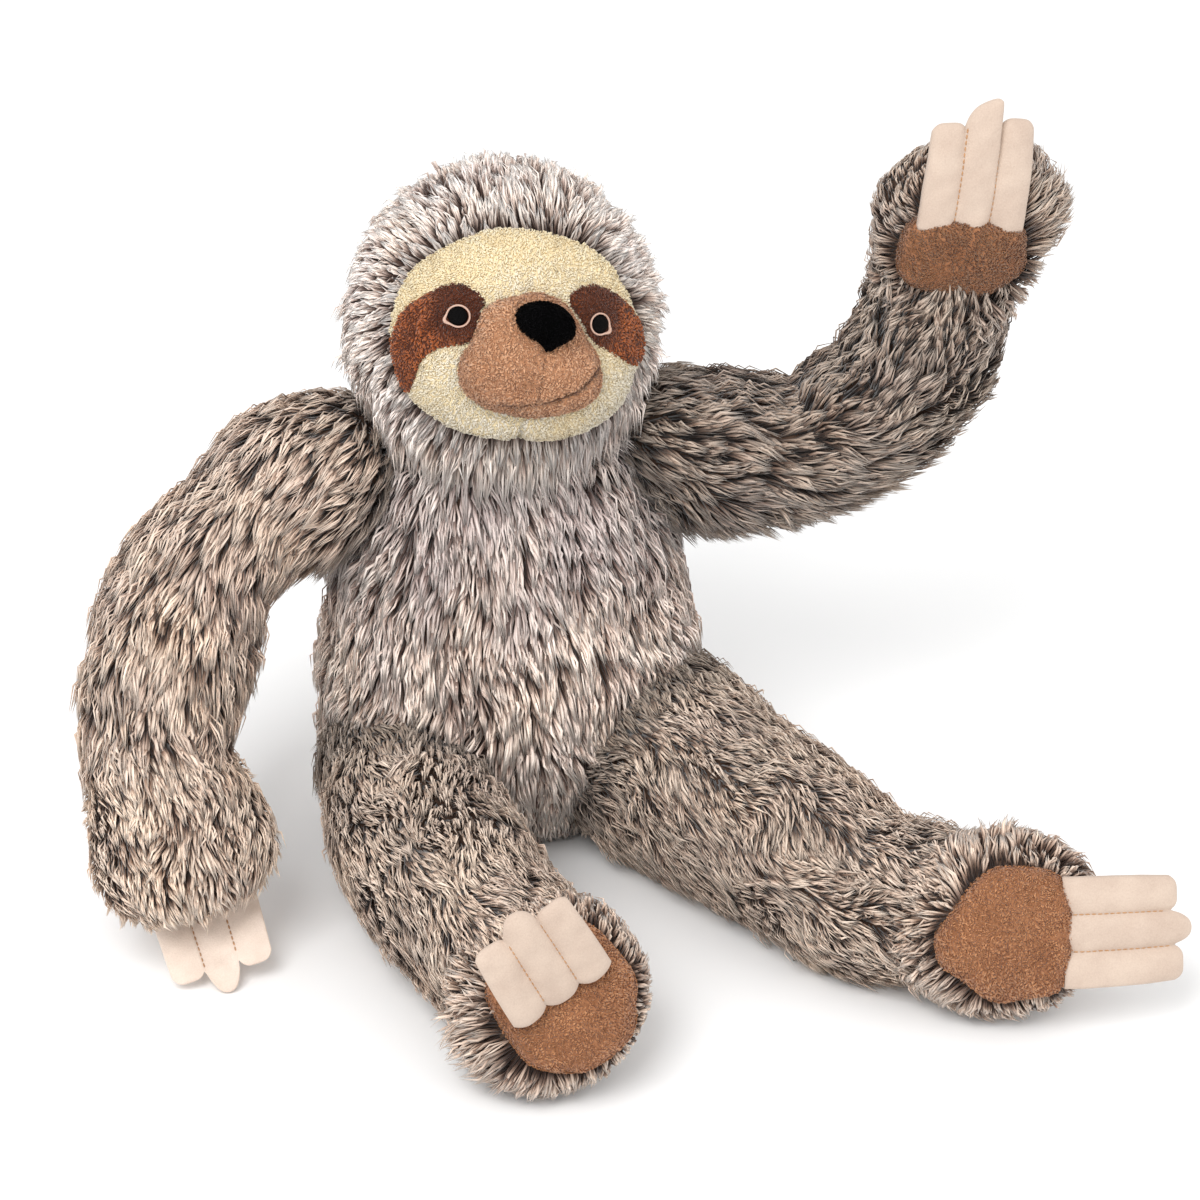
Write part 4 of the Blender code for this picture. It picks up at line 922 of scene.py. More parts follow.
def paw_fur(name, paw, pad, egg, claw_start, length, seed, warm, level, lean, others):
    """The fur of a hand or foot, which leaves the pad and the root of the claws bare."""
    middle, half_length, half_width = pad

    def pad_ratio(root):
        """1 at the edge of the pad, less inside it."""
        tip, across, _ = paw.local(root).T
        heel = ease((middle - tip) / half_length)
        sideways = (across - EGG_LEAN * egg * half_width * heel) / (1 - egg * heel)
        return np.hypot((tip - middle) / half_length, sideways / half_width)

    def reach(root):
        """Longer on the side that the lean names, in shares along tip and across, and short under the claws."""
        tip, across, face = paw.local(root).T
        under = ease((CLAW_HALF + 2 * MM - np.abs(across)) / (4 * MM)) * ease((tip - claw_start) / (10 * MM))
        full = length * (1 + unit(paw.local(root)[:, :2]) @ np.array(lean))
        return full * (1 - 0.45 * under * ease(face / (10 * MM) + 1))

    def flow(root, normal, onward):
        """Away from the pad's middle across the face, and back round the rim."""
        away = root - paw.at(middle, 0.0, 0.01)
        away = unit(away - np.multiply.outer((away @ paw.face), paw.face))
        back = ease(0.55 - paw.local(root)[:, 2] / 0.036)
        return away * (1 - back)[:, None] + paw.tip * back[:, None] - paw.face * 0.20

    def bare(root):
        tip, across, face = paw.local(root).T
        on_pad = (pad_ratio(root) < 1 - 2 * MM / half_width) & (face > 0)
        under_claws = (np.abs(across) < CLAW_HALF) & (tip > claw_start) & (face > 15 * MM)
        return on_pad | under_claws | buried(root, others, 7 * MM) | (root[:, 2] < 2 * MM)

    def shade(root):
        """Darkest right at the edge of the pad, where the roots show."""
        near = ease((pad_ratio(root) - 0.95) / 0.30)
        return level * (0.84 + 0.16 * np.where(paw.local(root)[:, 2] > 0, near, 1.0))

    return lay_fur(name, paw.form(BACKING_INSET + 1 * MM), 1.70 * MM, reach, flow, fur["limb"], seed, bare=bare,
                   warm=warm, swirl=0.30, lift=48.0, shade=shade, tousle=0.16, group=8, clump=0.58,
                   width=1.10 * MM, edge_dark=0.24)


PAWS = {"left_hand": hands["left"], "right_hand": hands["right"], "left_foot": feet["left"],
        "right_foot": feet["right"]}
for number, (name, paw) in enumerate(PAWS.items()):
    side = name.split("_")[0]
    hand = "hand" in name
    skin = closed_skin(name + "_backing", paw.form(BACKING_INSET + 1 * MM), 56, 44, backing)
    length, warm, level, lean = PAW_LOOKS[name]
    hair = paw_fur(name + "_fur", paw, PALM_PAD if hand else SOLE_PAD, EGGS.get(name, 0.0), CLAWS[name][0],
                   length, 131 + number, warm, level, lean, [arms[side].depth if hand else legs[side].depth])
    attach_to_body(skin, name)
    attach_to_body(hair, name)
    dress(skin, "limb_fur", name + "_skin", name + "_stuffing")

# %% [markdown]
# ## Trunk and head
# Belly fur is the longest and falls straight down with a slight fan. Head fur grows out and back all round
# from the edge of the face. At the sides and under the chin it is long enough to hang over the shoulders and
# the chest, which hides the neck as on the real toy.

# %% Trunk
limb_depths = [sleeve.depth for sleeve in (*arms.values(), *legs.values())]
trunk_backing = closed_skin("torso_backing", trunk_form(BACKING_INSET), 72, 60, backing)
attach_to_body(trunk_backing, "torso")
dress(trunk_backing, "torso_fur", "torso_skin", "torso_stuffing", "pellet_bag")


def belly_flow(root, normal, onward):
    """Straight down, with a fan that opens to both sides."""
    return np.stack((root[:, 0] * 2.2, np.zeros(len(root)), np.full(len(root), -1.0)), 1)


def trunk_warmth(root):
    """Cream on the belly and mauve-grey on the chest."""
    return 0.72 - 0.60 * ease((root[:, 2] - 0.125) / 0.055)


def trunk_shade(root):
    """A little darker on the chest, and darkest with painted shade in the creases beside the limbs."""
    crease = crease_shade(1.0, limb_depths, 0.38, 0.014)(root)
    return crease * (1.09 - 0.17 * ease((root[:, 2] - 0.12) / 0.05))


def trunk_span(low, high):
    """True outside a span of half turns from the front, inside other forms and close to the seat."""
    def bare(root):
        front = np.arctan2(root[:, 0], -root[:, 1]) / np.pi
        hidden = buried(root, limb_depths, 8 * MM) | buried(root, [head_depth], 12 * MM)
        return (front < low) | (front >= high) | hidden | (root[:, 2] < 5 * MM)
    return bare


for part, low, high in (("front_right", -0.45, 0.0), ("front_left", 0.0, 0.45), ("back_right", -1.01, -0.45),
                        ("back_left", 0.45, 1.01)):
    hair = lay_fur(f"torso_{part}_fur", trunk_form(BACKING_INSET), 1.88 * MM, 23 * MM, belly_flow, fur["torso"],
                   171, bare=trunk_span(low, high), warm=trunk_warmth, swirl=0.22, swirl_size=0.05, lift=38.0,
                   shade=trunk_shade, tousle=0.09, stretch=4.0, edge_dark=0.26, group=12, uneven=0.7)
    attach("torso", "torso_fur", hair)

# %% Face frame and outlines
FACE_TURN, FACE_PITCH, FACE_TILT = 4.0, 22.0, 6.0
place = (Matrix.Rotation(np.radians(FACE_TURN), 3, "Z") @ Matrix.Rotation(np.radians(-FACE_PITCH), 3, "X")
         @ Matrix.Rotation(np.radians(FACE_TILT), 3, "Y"))
FACE = np.array((place @ Vector((1, 0, 0)), place @ Vector((0, 0, 1)), place @ Vector((0, -1, 0))))


class Outline:
    """A closed smooth outline on the face, in metres right and up of its middle; made from points in mm."""

    def __init__(self, points, middle, size=1.0, count=240):
        """A periodic cubic of Catmull and Rom through the points, turned so that it runs anticlockwise."""
        points = np.array(middle) + (np.asarray(points, float) - np.array(middle)) * size
        number = len(points)
        place = np.arange(count) / count * number
        index = place.astype(int)
        share = (place - index)[:, None]
        a, b, c, d = [points[(index + step) % number] for step in (-1, 0, 1, 2)]
        path = b + 0.5 * share * (c - a + share * (2 * a - 5 * b + 4 * c - d + share * (3 * (b - c) + d - a)))
        turning = np.sum(path[:, 0] * np.roll(path[:, 1], -1) - np.roll(path[:, 0], -1) * path[:, 1])
        self.path = (path if turning > 0 else path[::-1]) * MM
        self.middle = np.array(middle) * MM
        rim = self.path - self.middle
        angle = np.arctan2(rim[:, 1], rim[:, 0])
        order = np.argsort(angle)
        self.angle, self.reach = angle[order], np.linalg.norm(rim, axis=1)[order]

    def rim(self, u):
        """Places on the outline at shares u of its run."""
        place = np.mod(u, 1) * len(self.path)
        index = np.floor(place).astype(int) % len(self.path)
        share = (place - np.floor(place))[..., None]
        return self.path[index] * (1 - share) + self.path[(index + 1) % len(self.path)] * share

    def ratio(self, flat):
        """Distance from the middle as a share of the outline's own reach that way: 1 on the outline."""
        away = flat - self.middle
        reach = np.interp(np.arctan2(away[..., 1], away[..., 0]), self.angle, self.reach, period=2 * np.pi)
        return np.linalg.norm(away, axis=-1) / reach


def on_face(points):
    """Points in the face's own right, up and out."""
    return (points - HEAD) @ FACE.T


PANEL = Outline([(-13.3, 45.1), (5.1, 43.8), (21.8, 39.2), (31.7, 34.5), (40.2, 27.5), (45.6, 19.6), (50.7, 12.4),
                 (54.5, 3.5), (57.4, -3.2), (58.5, -10.4), (56.5, -18.4), (53.2, -26.8), (50.7, -34.0),
                 (46.6, -40.6), (39.8, -45.5), (31.7, -49.9), (19.7, -53.0), (7.3, -54.1), (-2.3, -52.6),
                 (-11.9, -52.8), (-25.7, -50.3), (-35.7, -46.4), (-43.7, -41.0), (-50.5, -35.4), (-54.8, -29.3),
                 (-57.9, -21.0), (-60.3, -14.1), (-61.7, -7.2), (-61.8, 1.2), (-60.3, 9.0), (-57.7, 16.9),
                 (-53.3, 24.7), (-47.3, 30.3), (-40.4, 34.9), (-31.5, 39.4), (-22.5, 43.1)], (0, -7), 0.968)
PATCHES = {
    "right": Outline([(-38.9, 18.4), (-32.6, 18.9), (-28.2, 17.0), (-24.2, 14.4), (-23.2, 11.0), (-24.9, 5.8),
                      (-27.3, -2.3), (-29.8, -6.9), (-36.0, -8.2), (-42.0, -9.7), (-46.3, -12.2),
                      (-49.4, -15.8), (-51.4, -19.8), (-52.0, -24.4), (-52.3, -29.8), (-54.4, -30.2),
                      (-56.8, -26.0), (-58.8, -20.0), (-60.3, -14.0), (-60.8, -7.4), (-59.6, -1.3),
                      (-57.0, 5.0), (-53.6, 9.4), (-48.5, 13.0), (-43.6, 16.2)], (-46, -3)),
    "left": Outline([(16.2, 11.8), (19.2, 15.7), (25.4, 18.2), (32.8, 17.2), (40.3, 13.8), (45.9, 10.0),
                     (50.8, 5.0), (54.9, -0.8), (57.1, -7.8), (57.0, -14.9), (53.6, -18.8), (48.4, -17.7),
                     (43.0, -14.8), (36.4, -11.6), (30.3, -8.2), (26.2, -4.5), (23.0, 1.0), (19.2, 7.0)], (38, 2)),
}
MUZZLE = Outline([(1.4, 16.8), (7.4, 15.2), (13.6, 11.8), (18.3, 6.8), (22.0, 0.4), (26.0, -6.6), (30.2, -11.7),
                  (32.8, -17.3), (34.2, -24.6), (33.3, -31.4), (30.2, -36.0), (22.6, -39.9), (11.8, -42.3),
                  (1.8, -43.2), (-8.0, -42.2), (-17.6, -40.2), (-24.3, -37.2), (-30.4, -33.0), (-34.2, -28.2),
                  (-35.8, -21.5), (-34.6, -14.2), (-31.6, -8.7), (-29.2, -2.8), (-26.8, 4.8), (-23.6, 9.8),
                  (-17.0, 13.0), (-9.0, 15.6)], (2, -15), 0.945)
NOSE = Outline([(-12.3, 4.4), (-10.4, 9.2), (-5.5, 11.8), (1.9, 12.4), (7.9, 11.0), (12.8, 7.6), (16.2, 2.9),
                (16.6, -2.6), (13.4, -6.4), (7.9, -9.2), (2.7, -11.6), (-1.2, -7.4), (-6.6, -4.4), (-10.6, -0.5)],
               (6.0, 1.0), 0.92)
EYES = {"right": (-35.0, 4.9), "left": (31.4, 0.8)}

# %% Head fur
HEAD_INSET = 8.5 * MM


def head_flow(root, normal, onward):
    """Away from the middle of the face; at the sides and behind it turns down."""
    offset = root - (HEAD + FACE[2] * HEAD_RADIUS * 0.9 + FACE[1] * PANEL.middle[1])
    behind = ease(0.5 - on_face(root)[:, 2] / 0.10)
    below = ease((HEAD[2] + 0.05 - root[:, 2]) / 0.07)
    return unit(offset) + np.array((0, 0, -1.0)) * (0.9 * behind + 0.75 * below)[:, None]


def rim_ratio(root):
    """How far roots stand from the face's edge: 1 at the edge, and 3 behind the face."""
    local = on_face(root) * (HEAD_RADIUS / (HEAD_RADIUS - HEAD_INSET))
    return np.where(local[:, 2] > 0.005, PANEL.ratio(local[:, :2]), 3.0)


def bare_head(front):
    """True on the face, on the other half of the head, and deep in the trunk."""
    def bare(root):
        other_half = (root[:, 1] < HEAD[1]) != front
        return (rim_ratio(root) < 0.985) | other_half | buried(root, [trunk_depth], 12 * MM)
    return bare


def head_length(root):
    """20 mm at the edge of the face and 25 mm further back, up to 6 mm more where it hangs over chest and
    shoulders, and up to 7 mm less high on the right side."""
    low = ease((HEAD[2] - 0.005 - root[:, 2]) / 0.045)
    slim = ease(unit(root - HEAD) @ unit((-0.80, -0.30, 0.55)) * 2 - 1)
    return (20 + 5 * ease((rim_ratio(root) - 1) / 0.30) + 6 * low - 7 * slim) * MM


def head_hang(root):
    """Below the middle of the head the locks hang free."""
    return 0.85 * ease((HEAD[2] - 0.010 - root[:, 2]) / 0.050)


def head_shade(root):
    """Dark roots and painted shade at the face's edge, darker low on the head, a painted highlight at the sides.
    """
    near = 1 - ease((rim_ratio(root) - 0.985) / 0.19)
    low = ease((HEAD[2] - 0.020 - root[:, 2]) / 0.03)
    side = ease((np.abs(on_face(root)[:, 0]) - 0.030) / 0.03)
    return (1.03 - 0.50 * near) * (1 - 0.16 * low + 0.08 * side)


head_backing = closed_skin("head_backing", head_form(HEAD_INSET), 72, 48, backing)
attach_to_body(head_backing, "head")
dress(head_backing, "head_fur", "head_skin", "head_stuffing")
for part, front in (("front", True), ("back", False)):
    hair = lay_fur(f"head_{part}_fur", head_form(HEAD_INSET), 1.68 * MM, head_length, head_flow, fur["head"],
                   211, bare=bare_head(front), warm=0.45, swirl=0.20, swirl_size=0.045, lift=48.0,
                   hang=head_hang, shade=head_shade, weight=0.16, tousle=0.07, width=1.02 * MM,
                   edge_dark=0.14, mottle=0.30, stretch=4.5, group=14, uneven=0.45, droop=0.56)
    attach("head", "head_fur", hair)

# %% [markdown]
# ## Short plush, felt and thread
# The face, muzzle, nose and pads are cut from short plush. Under its pile is a knitted ground, and the pile
# itself is laid as the fur was, only about two millimetres long. It leans in patches, which gives the
# mottled look of sheared plush and a soft edge to every piece.

# %% Plush and felt


def cloth_finish(name, pale, deep, tuft=700.0, patch=60.0, strength=0.7, sheen=0.35, roughness=0.9,
                 gloss=0.12):
    """Mottled cloth: two noises and Voronoi tufts choose between a pale and a deep tone, and raise the nap."""
    made, shader, start = new_material(name, roughness, sheen, gloss)
    place = start.node("ShaderNodeTexCoord", out=3)
    leaning = start.node("ShaderNodeTexNoise", links={"Vector": place, "Scale": patch, "Detail": 4.0})
    nap = start.node("ShaderNodeTexNoise", links={"Vector": place, "Scale": tuft, "Detail": 3.0,
                                                  "Roughness": 0.65})
    tufts = start.node("ShaderNodeTexVoronoi", links={"Vector": place, "Scale": tuft * 0.8})
    level = leaning * 0.55 + nap * 0.35 + (1.0 - tufts) * 0.12
    colour = start.node("ShaderNodeValToRGB", {"stops": ramp((0.32, 0.66), deep, pale)}, {0: level})
    height = nap * 0.7 + (1.0 - tufts) * 0.3
    bump = start.node("ShaderNodeBump", links={"Strength": strength, "Distance": 0.0012, "Height": height})
    start.tree.links.new(colour.socket, shader.inputs["Base Color"])
    start.tree.links.new(bump.socket, shader.inputs["Normal"])
    return made


cloths = {
    "face": cloth_finish("face_plush_ground", (240, 224, 186), (222, 202, 160)),
    "patch": cloth_finish("patch_plush_ground", (92, 46, 25), (64, 30, 16)),
    "muzzle": cloth_finish("muzzle_plush_ground", (192, 142, 106), (160, 112, 80)),
    "nose": cloth_finish("nose_plush_ground", (7, 6, 7), (3, 3, 3), sheen=0.0, gloss=0.03),
    "pad": cloth_finish("pad_plush_ground", (172, 120, 84), (136, 88, 58)),
    "claw": cloth_finish("claw_felt_cloth", (206, 187, 171), (186, 165, 150), tuft=1500.0, strength=0.25,
                         sheen=0.10),
    # A brighter copy of the claw felt for the right hand: painted light that makes up for the shade of the arm.
    "painted_light_claw": cloth_finish("painted_light_claw_felt_cloth", (236, 218, 204), (218, 198, 182), tuft=1500.0,
                                strength=0.25, sheen=0.10),
    "ring": cloth_finish("eye_ring_thread", (222, 188, 170), (182, 142, 122), tuft=2500.0, sheen=0.15),
    "eye": cloth_finish("eye_dark_thread", (8, 6, 6), (2, 2, 2), tuft=2500.0, sheen=0.0, roughness=0.40,
                        gloss=0.06),
    "stitch": cloth_finish("seam_thread", (206, 160, 118), (172, 124, 84), tuft=2500.0),
    "crease": cloth_finish("mouth_crease_thread", (120, 78, 54), (84, 52, 34), tuft=2500.0),
}
PILE_PLACES = (0.10, 0.50, 0.95)
piles = {
    "face": fur_finish("face_plush_pile", ramp(PILE_PLACES, (232, 210, 166), (244, 226, 186), (250, 236, 202)),
                       ramp(PILE_PLACES, (226, 214, 188), (238, 228, 206), (246, 238, 222)), 0.85, 0.2, 0.2),
    "patch": fur_finish("patch_plush_pile", ramp(PILE_PLACES, (138, 68, 28), (166, 86, 38), (188, 106, 52)),
                        ramp(PILE_PLACES, (58, 23, 10), (75, 32, 15), (96, 46, 24)), 0.85, 0.15, 0.15),
    "muzzle": fur_finish("muzzle_plush_pile", ramp(PILE_PLACES, (178, 124, 86), (214, 160, 120), (232, 182, 144)),
                         ramp(PILE_PLACES, (160, 110, 76), (196, 144, 108), (214, 164, 128)), 0.85, 0.2, 0.4),
    "nose": fur_finish("nose_plush_pile", ramp(PILE_PLACES, (2, 2, 2), (5, 4, 5), (12, 11, 12)),
                       ramp(PILE_PLACES, (2, 2, 2), (4, 4, 5), (11, 10, 12)), 0.9, 0.0, 0.3, 0.05),
    "pad": fur_finish("pad_plush_pile", ramp(PILE_PLACES, (144, 88, 52), (188, 128, 84), (210, 152, 108)),
                      ramp(PILE_PLACES, (128, 77, 46), (168, 112, 73), (190, 136, 96)), 0.85, 0.2, 0.45),
}


def lay_pile(name, form, finish, seed, flow, bare, length=1.9 * MM, spacing=0.98 * MM, **looks):
    """Sheared plush: very short, nearly upright locks that lean in patches."""
    chosen = dict(lift=56.0, width=0.80 * MM, swirl=1.0, swirl_size=0.009, clump=0.30, droop=0.50, weight=0.0,
                  group=5, tousle=0.30, stretch=1.3, edge_dark=0.10, mottle=0.35, uneven=0.5)
    chosen.update(looks)
    return lay_fur(name, form, spacing, length, flow, finish, seed, bare=bare, **chosen)


# %% [markdown]
# ## The face
# The face panel is one oval of cream plush let into the fur. Eye patches, eyes and nose are sewn on top. Each
# is the same kind of surface: an outline on the head's ball, crowned in the middle and tucked in at its edge.

# %% Sewn pieces


def sewn_form(outline, low, high, fullness=3.0, relief=None):
    """S(u, v): the outline at u shrunk to its middle by rho(v), on a ball whose radius goes from low, on the
    back, to high, on the front; rho and the height follow a superellipse."""
    ball = (low + high) / 2

    def surface(u, v):
        rho = (1 - np.abs(np.cos(np.pi * v)) ** fullness) ** (1 / fullness)
        flat = outline.middle + (outline.rim(u) - outline.middle) * rho[..., None]
        crown = (1 - rho ** fullness) ** (1 / fullness)
        radius = ball + np.sign(v - 0.5) * crown * (high - low) / 2
        out = np.sqrt(np.maximum(ball ** 2 - (flat ** 2).sum(-1), 0))
        if relief is not None:
            radius = radius + relief(flat) * (v > 0.5) * crown ** 0.5
        return HEAD + (unit(np.concatenate((flat, out[..., None]), -1)) * radius[..., None]) @ FACE
    return surface


def away_from(place):
    """A flow that leads away from a place on the face."""
    def flow(root, normal, onward):
        flat = on_face(root)[:, :2] - np.array(place) * MM
        return flat @ FACE[:2] - FACE[1] * 0.010
    return flow


def covered(ball, *outlines):
    """True on the back of a sewn piece, and where another piece is sewn over it."""
    def bare(root):
        flat = on_face(root)[:, :2]
        under = np.any([outline.ratio(flat) < 0.97 for outline in outlines], 0)
        return (np.linalg.norm(root - HEAD, axis=1) < ball) | under
    return bare


# %% Face panel
def face_relief(flat):
    """Cheeks that swell below the eyes, a brow above each eye, a puffed chin with a dart, and a soft ripple."""
    brow = np.exp(-((np.abs(flat[..., 0]) - 0.030) / 0.016) ** 2 - ((flat[..., 1] - 0.026) / 0.009) ** 2)
    cheek = np.exp(-((np.abs(flat[..., 0]) - 0.040) / 0.018) ** 2 - ((flat[..., 1] + 0.032) / 0.014) ** 2)
    chin = np.exp(-(flat[..., 0] / 0.030) ** 2 - ((flat[..., 1] + 0.047) / 0.006) ** 2)
    dart = np.exp(-((flat[..., 0] + 0.003) / 0.0016) ** 2) * ease((-0.041 - flat[..., 1]) / 0.006)
    points = np.concatenate((flat, flat[..., :1] * 0), -1)
    return (1.6 * brow + 2.4 * cheek + 2.8 * chin - 2.2 * dart + 0.3 * waves(points, 0.006, 5)) * MM


def face_warmth(root):
    """Yellow cream on the brow and whiter on cheeks and chin."""
    return 0.15 + 0.70 * ease((on_face(root)[:, 1] + 0.030) / 0.040)


def face_shade(root):
    """A little shadow towards the edge, beside the muzzle and in the chin's dart."""
    flat = on_face(root)[:, :2]
    dart = np.exp(-((flat[:, 0] + 0.003) / 0.0014) ** 2) * ease((-0.043 - flat[:, 1]) / 0.006)
    beside = np.exp(-((MUZZLE.ratio(flat) - 1.0) / 0.07) ** 2)
    return (1 - 0.08 * ease((PANEL.ratio(flat) - 0.80) / 0.2)) * (1 - 0.30 * dart) * (1 - 0.16 * beside)


panel_form = sewn_form(PANEL, 0.0705, 0.0772, 4.0, face_relief)
panel = closed_skin("face_cover", panel_form, 200, 110, cloths["face"])
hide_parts("face_panel")
pile = lay_pile("face_cover_pile", panel_form, piles["face"], 301, away_from((0, 4)),
                covered(0.0738, PATCHES["right"], PATCHES["left"], MUZZLE), length=2.2 * MM, spacing=0.90 * MM,
                width=0.85 * MM, warm=face_warmth, swirl_size=0.012, edge_dark=0.05, uneven=0.30,
                tousle=0.25, shade=face_shade)
attach("head", "face_plush", panel, pile)

# %% Eye patches and eyes


def eye_point(side, radius):
    """The middle of an eye on a ball of the given radius."""
    flat = np.array(EYES[side]) * MM
    return HEAD + unit(np.append(flat, np.sqrt(HEAD_RADIUS ** 2 - (flat ** 2).sum()))) * radius @ FACE


def round_outline(middle, radius):
    """A round outline on the face from twelve points, in mm."""
    return Outline([(middle[0] + radius * np.cos(turn), middle[1] + radius * np.sin(turn))
                    for turn in np.arange(12) * np.pi / 6], middle)


def patch_warmth(side):
    """Dark brown round the eye and over it, and orange-brown towards the temple and the lower tip."""
    middle = eye_point(side, 0.0785)

    def warmth(root):
        away = np.linalg.norm(root - middle, axis=1)
        flat = on_face(root)[:, :2] - np.array(EYES[side]) * MM
        outward = np.abs(flat[:, 0]) * np.sign(flat[:, 0] * EYES[side][0])
        temple = ease((outward - flat[:, 1] * 0.6) / 0.010 + 0.1)
        return 0.12 + 0.80 * ease((away - 6 * MM) / (10 * MM)) * temple
    return warmth


RING_REACH, DISC_REACH = 5.4, 4.3
for number, (side, outline) in enumerate(PATCHES.items()):
    patch_form = sewn_form(outline, 0.0748, 0.0792, 4.0)
    patch = closed_skin(side + "_eye_patch_cover", patch_form, 120, 50, cloths["patch"])
    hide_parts(side + "_eye_patch")
    pile = lay_pile(side + "_eye_patch_pile", patch_form, piles["patch"], 311 + number, away_from(EYES[side]),
                    covered(0.0770, round_outline(EYES[side], RING_REACH), MUZZLE), warm=patch_warmth(side),
                    mottle=0.10, length=2.0 * MM, spacing=0.90 * MM, uneven=0.3)
    attach("head", "patch_plush", patch, pile)
    disc_form = sewn_form(round_outline(EYES[side], DISC_REACH), 0.0775, 0.0806, 3.0)
    disc = closed_skin(side + "_eye_disc", disc_form, 48, 24, cloths["eye"])
    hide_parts(side + "_eye")
    attach("head", "eye_thread", disc)


# %% Eye rings


def closed_tube(name, path, radius, sides, finish):
    """A thread along a closed path of points, round in section."""
    ahead = unit(np.roll(path, -1, 0) - np.roll(path, 1, 0))
    out = unit(path - HEAD)
    side = np.cross(out, ahead)
    angle = 2 * np.pi * np.arange(sides) / sides
    points = (path[:, None] + np.reshape(radius, (-1, 1, 1))
              * (side[:, None] * np.cos(angle)[:, None] + out[:, None] * np.sin(angle)[:, None]))
    count = len(path)
    row, column = np.meshgrid(np.arange(count), np.arange(sides), indexing="ij")
    after, following = (row + 1) % count, (column + 1) % sides
    quads = np.stack((row * sides + column, after * sides + column, after * sides + following,
                      row * sides + following), -1).reshape(-1, 4)
    return new_piece(name, points.reshape(-1, 3), [quads], finish)


CORNERS = {"right": 200.0, "left": -35.0}
for side, middle in EYES.items():
    angle = 2 * np.pi * np.arange(96) / 96
    off = np.mod(angle - np.radians(CORNERS[side]) + np.pi, 2 * np.pi) - np.pi
    corner = np.exp(-(off / 0.32) ** 2)
    reach = (4.9 + 1.3 * corner) * MM
    flat = np.array(middle) * MM + np.stack((np.cos(angle), np.sin(angle)), 1) * reach[:, None]
    out = np.sqrt(0.0802 ** 2 - (flat ** 2).sum(1))
    path = HEAD + np.column_stack((flat, out)) @ FACE
    ring = closed_tube(side + "_eye_ring", path, (0.44 + 0.40 * corner) * MM, 10, cloths["ring"])
    attach("head", "eye_thread", ring)

# %% [markdown]
# ## Muzzle, nose and mouth
# The muzzle is a stuffed pear of tan plush, narrow between the eyes and wide at the smile. A seam runs down
# from the nose and the smile is a sewn crease, so both are grooves in the surface.

# %% Muzzle
SMILE = np.array(((-18, -35.5), (-8, -36.5), (3, -35.0), (12, -32.6), (19.4, -29.6), (24.4, -25.6),
                  (30.0, -19.6))) * MM
SEAM = np.array(((3.0, -8.0), (1.0, -20.0), (0.0, -34.0))) * MM


def near_line(flat, line):
    """Distance from places on the face to a polyline, over all its pieces at once."""
    start, end = line[:-1], line[1:]
    along = end - start
    share = ((flat[..., None, :] - start) * along).sum(-1) / (along ** 2).sum(-1)
    share = np.clip(share, 0, 1)[..., None]
    return np.linalg.norm(flat[..., None, :] - start - along * share, axis=-1).min(-1)


def bulb_form(outline, crown, behind, sink, roundness=0.80, groove=None):
    """S(u, v): the outline at u, shrunk to the middle by sin(pi v)^0.92; out rises from just under the head's
    ball at the rim to the crown in front as cos(pi v)^roundness, and falls straight behind."""
    def surface(u, v):
        pole = np.pi * v
        rim = outline.rim(u)
        shrink = np.abs(np.sin(pole)) ** 0.92
        front = v > 0.5
        swell = 1 + 0.05 * np.abs(np.sin(2 * pole)) * front
        flat = outline.middle + (rim - outline.middle) * (shrink * swell)[..., None]
        base = np.sqrt(np.maximum(HEAD_RADIUS ** 2 - (rim ** 2).sum(-1), 0)) - sink
        rise = np.abs(np.cos(pole)) ** roundness
        out = np.where(front, base + (crown - base) * rise, base * (1 - rise) + behind * rise)
        local = np.concatenate((flat, out[..., None]), -1)
        lift = 0.25 * waves(local, 0.005, 9)
        if groove is not None:
            lift = lift - groove(flat) * front
        way = unit(local - np.append(outline.middle, crown - 0.030))
        return HEAD + (local + way * (lift * MM)[..., None]) @ FACE
    return surface


def muzzle_groove(flat):
    """The smile, deepest at the toy's left, and the shallower seam below the nose, in mm."""
    deep = 0.5 + 1.7 * ease((flat[..., 0] + 0.012) / 0.030)
    return (deep * np.exp(-(near_line(flat, SMILE) / 0.0014) ** 2)
            + 0.8 * np.exp(-(near_line(flat, SEAM) / 0.0013) ** 2))


muzzle_form = bulb_form(MUZZLE, 0.0885, 0.052, 3.0 * MM, 0.78, muzzle_groove)
muzzle = closed_skin("muzzle_cover", muzzle_form, 160, 110, cloths["muzzle"])
dress(muzzle, "muzzle_plush", "muzzle", "muzzle_stuffing")


def bare_muzzle(root):
    """True inside the head and under the nose."""
    local = on_face(root)
    return (np.linalg.norm(local, axis=1) < 0.0755) | ((NOSE.ratio(local[:, :2]) < 0.92) & (local[:, 2] > 0.07))


def muzzle_shade(root):
    """Painted shade in the crease of the smile, along the seam and towards the rim; darker close round the nose.
    """
    flat = on_face(root)[:, :2]
    deep = 0.25 + 0.40 * ease((flat[:, 0] + 0.012) / 0.030)
    crease = deep * np.exp(-(near_line(flat, SMILE) / 0.0013) ** 2)
    seam = 0.22 * np.exp(-(near_line(flat, SEAM) / 0.0012) ** 2)
    rim = 1 - 0.16 * ease((MUZZLE.ratio(flat) - 0.72) / 0.3)
    return (1 - crease - seam) * (0.80 + 0.20 * ease((NOSE.ratio(flat) - 1.0) / 0.25)) * rim


pile = lay_pile("muzzle_cover_pile", muzzle_form, piles["muzzle"], 321, away_from((2, 2)), bare_muzzle,
                length=2.0 * MM, spacing=0.90 * MM, width=0.85 * MM, shade=muzzle_shade, warm=0.6)
attach("head", "muzzle_plush", muzzle, pile)

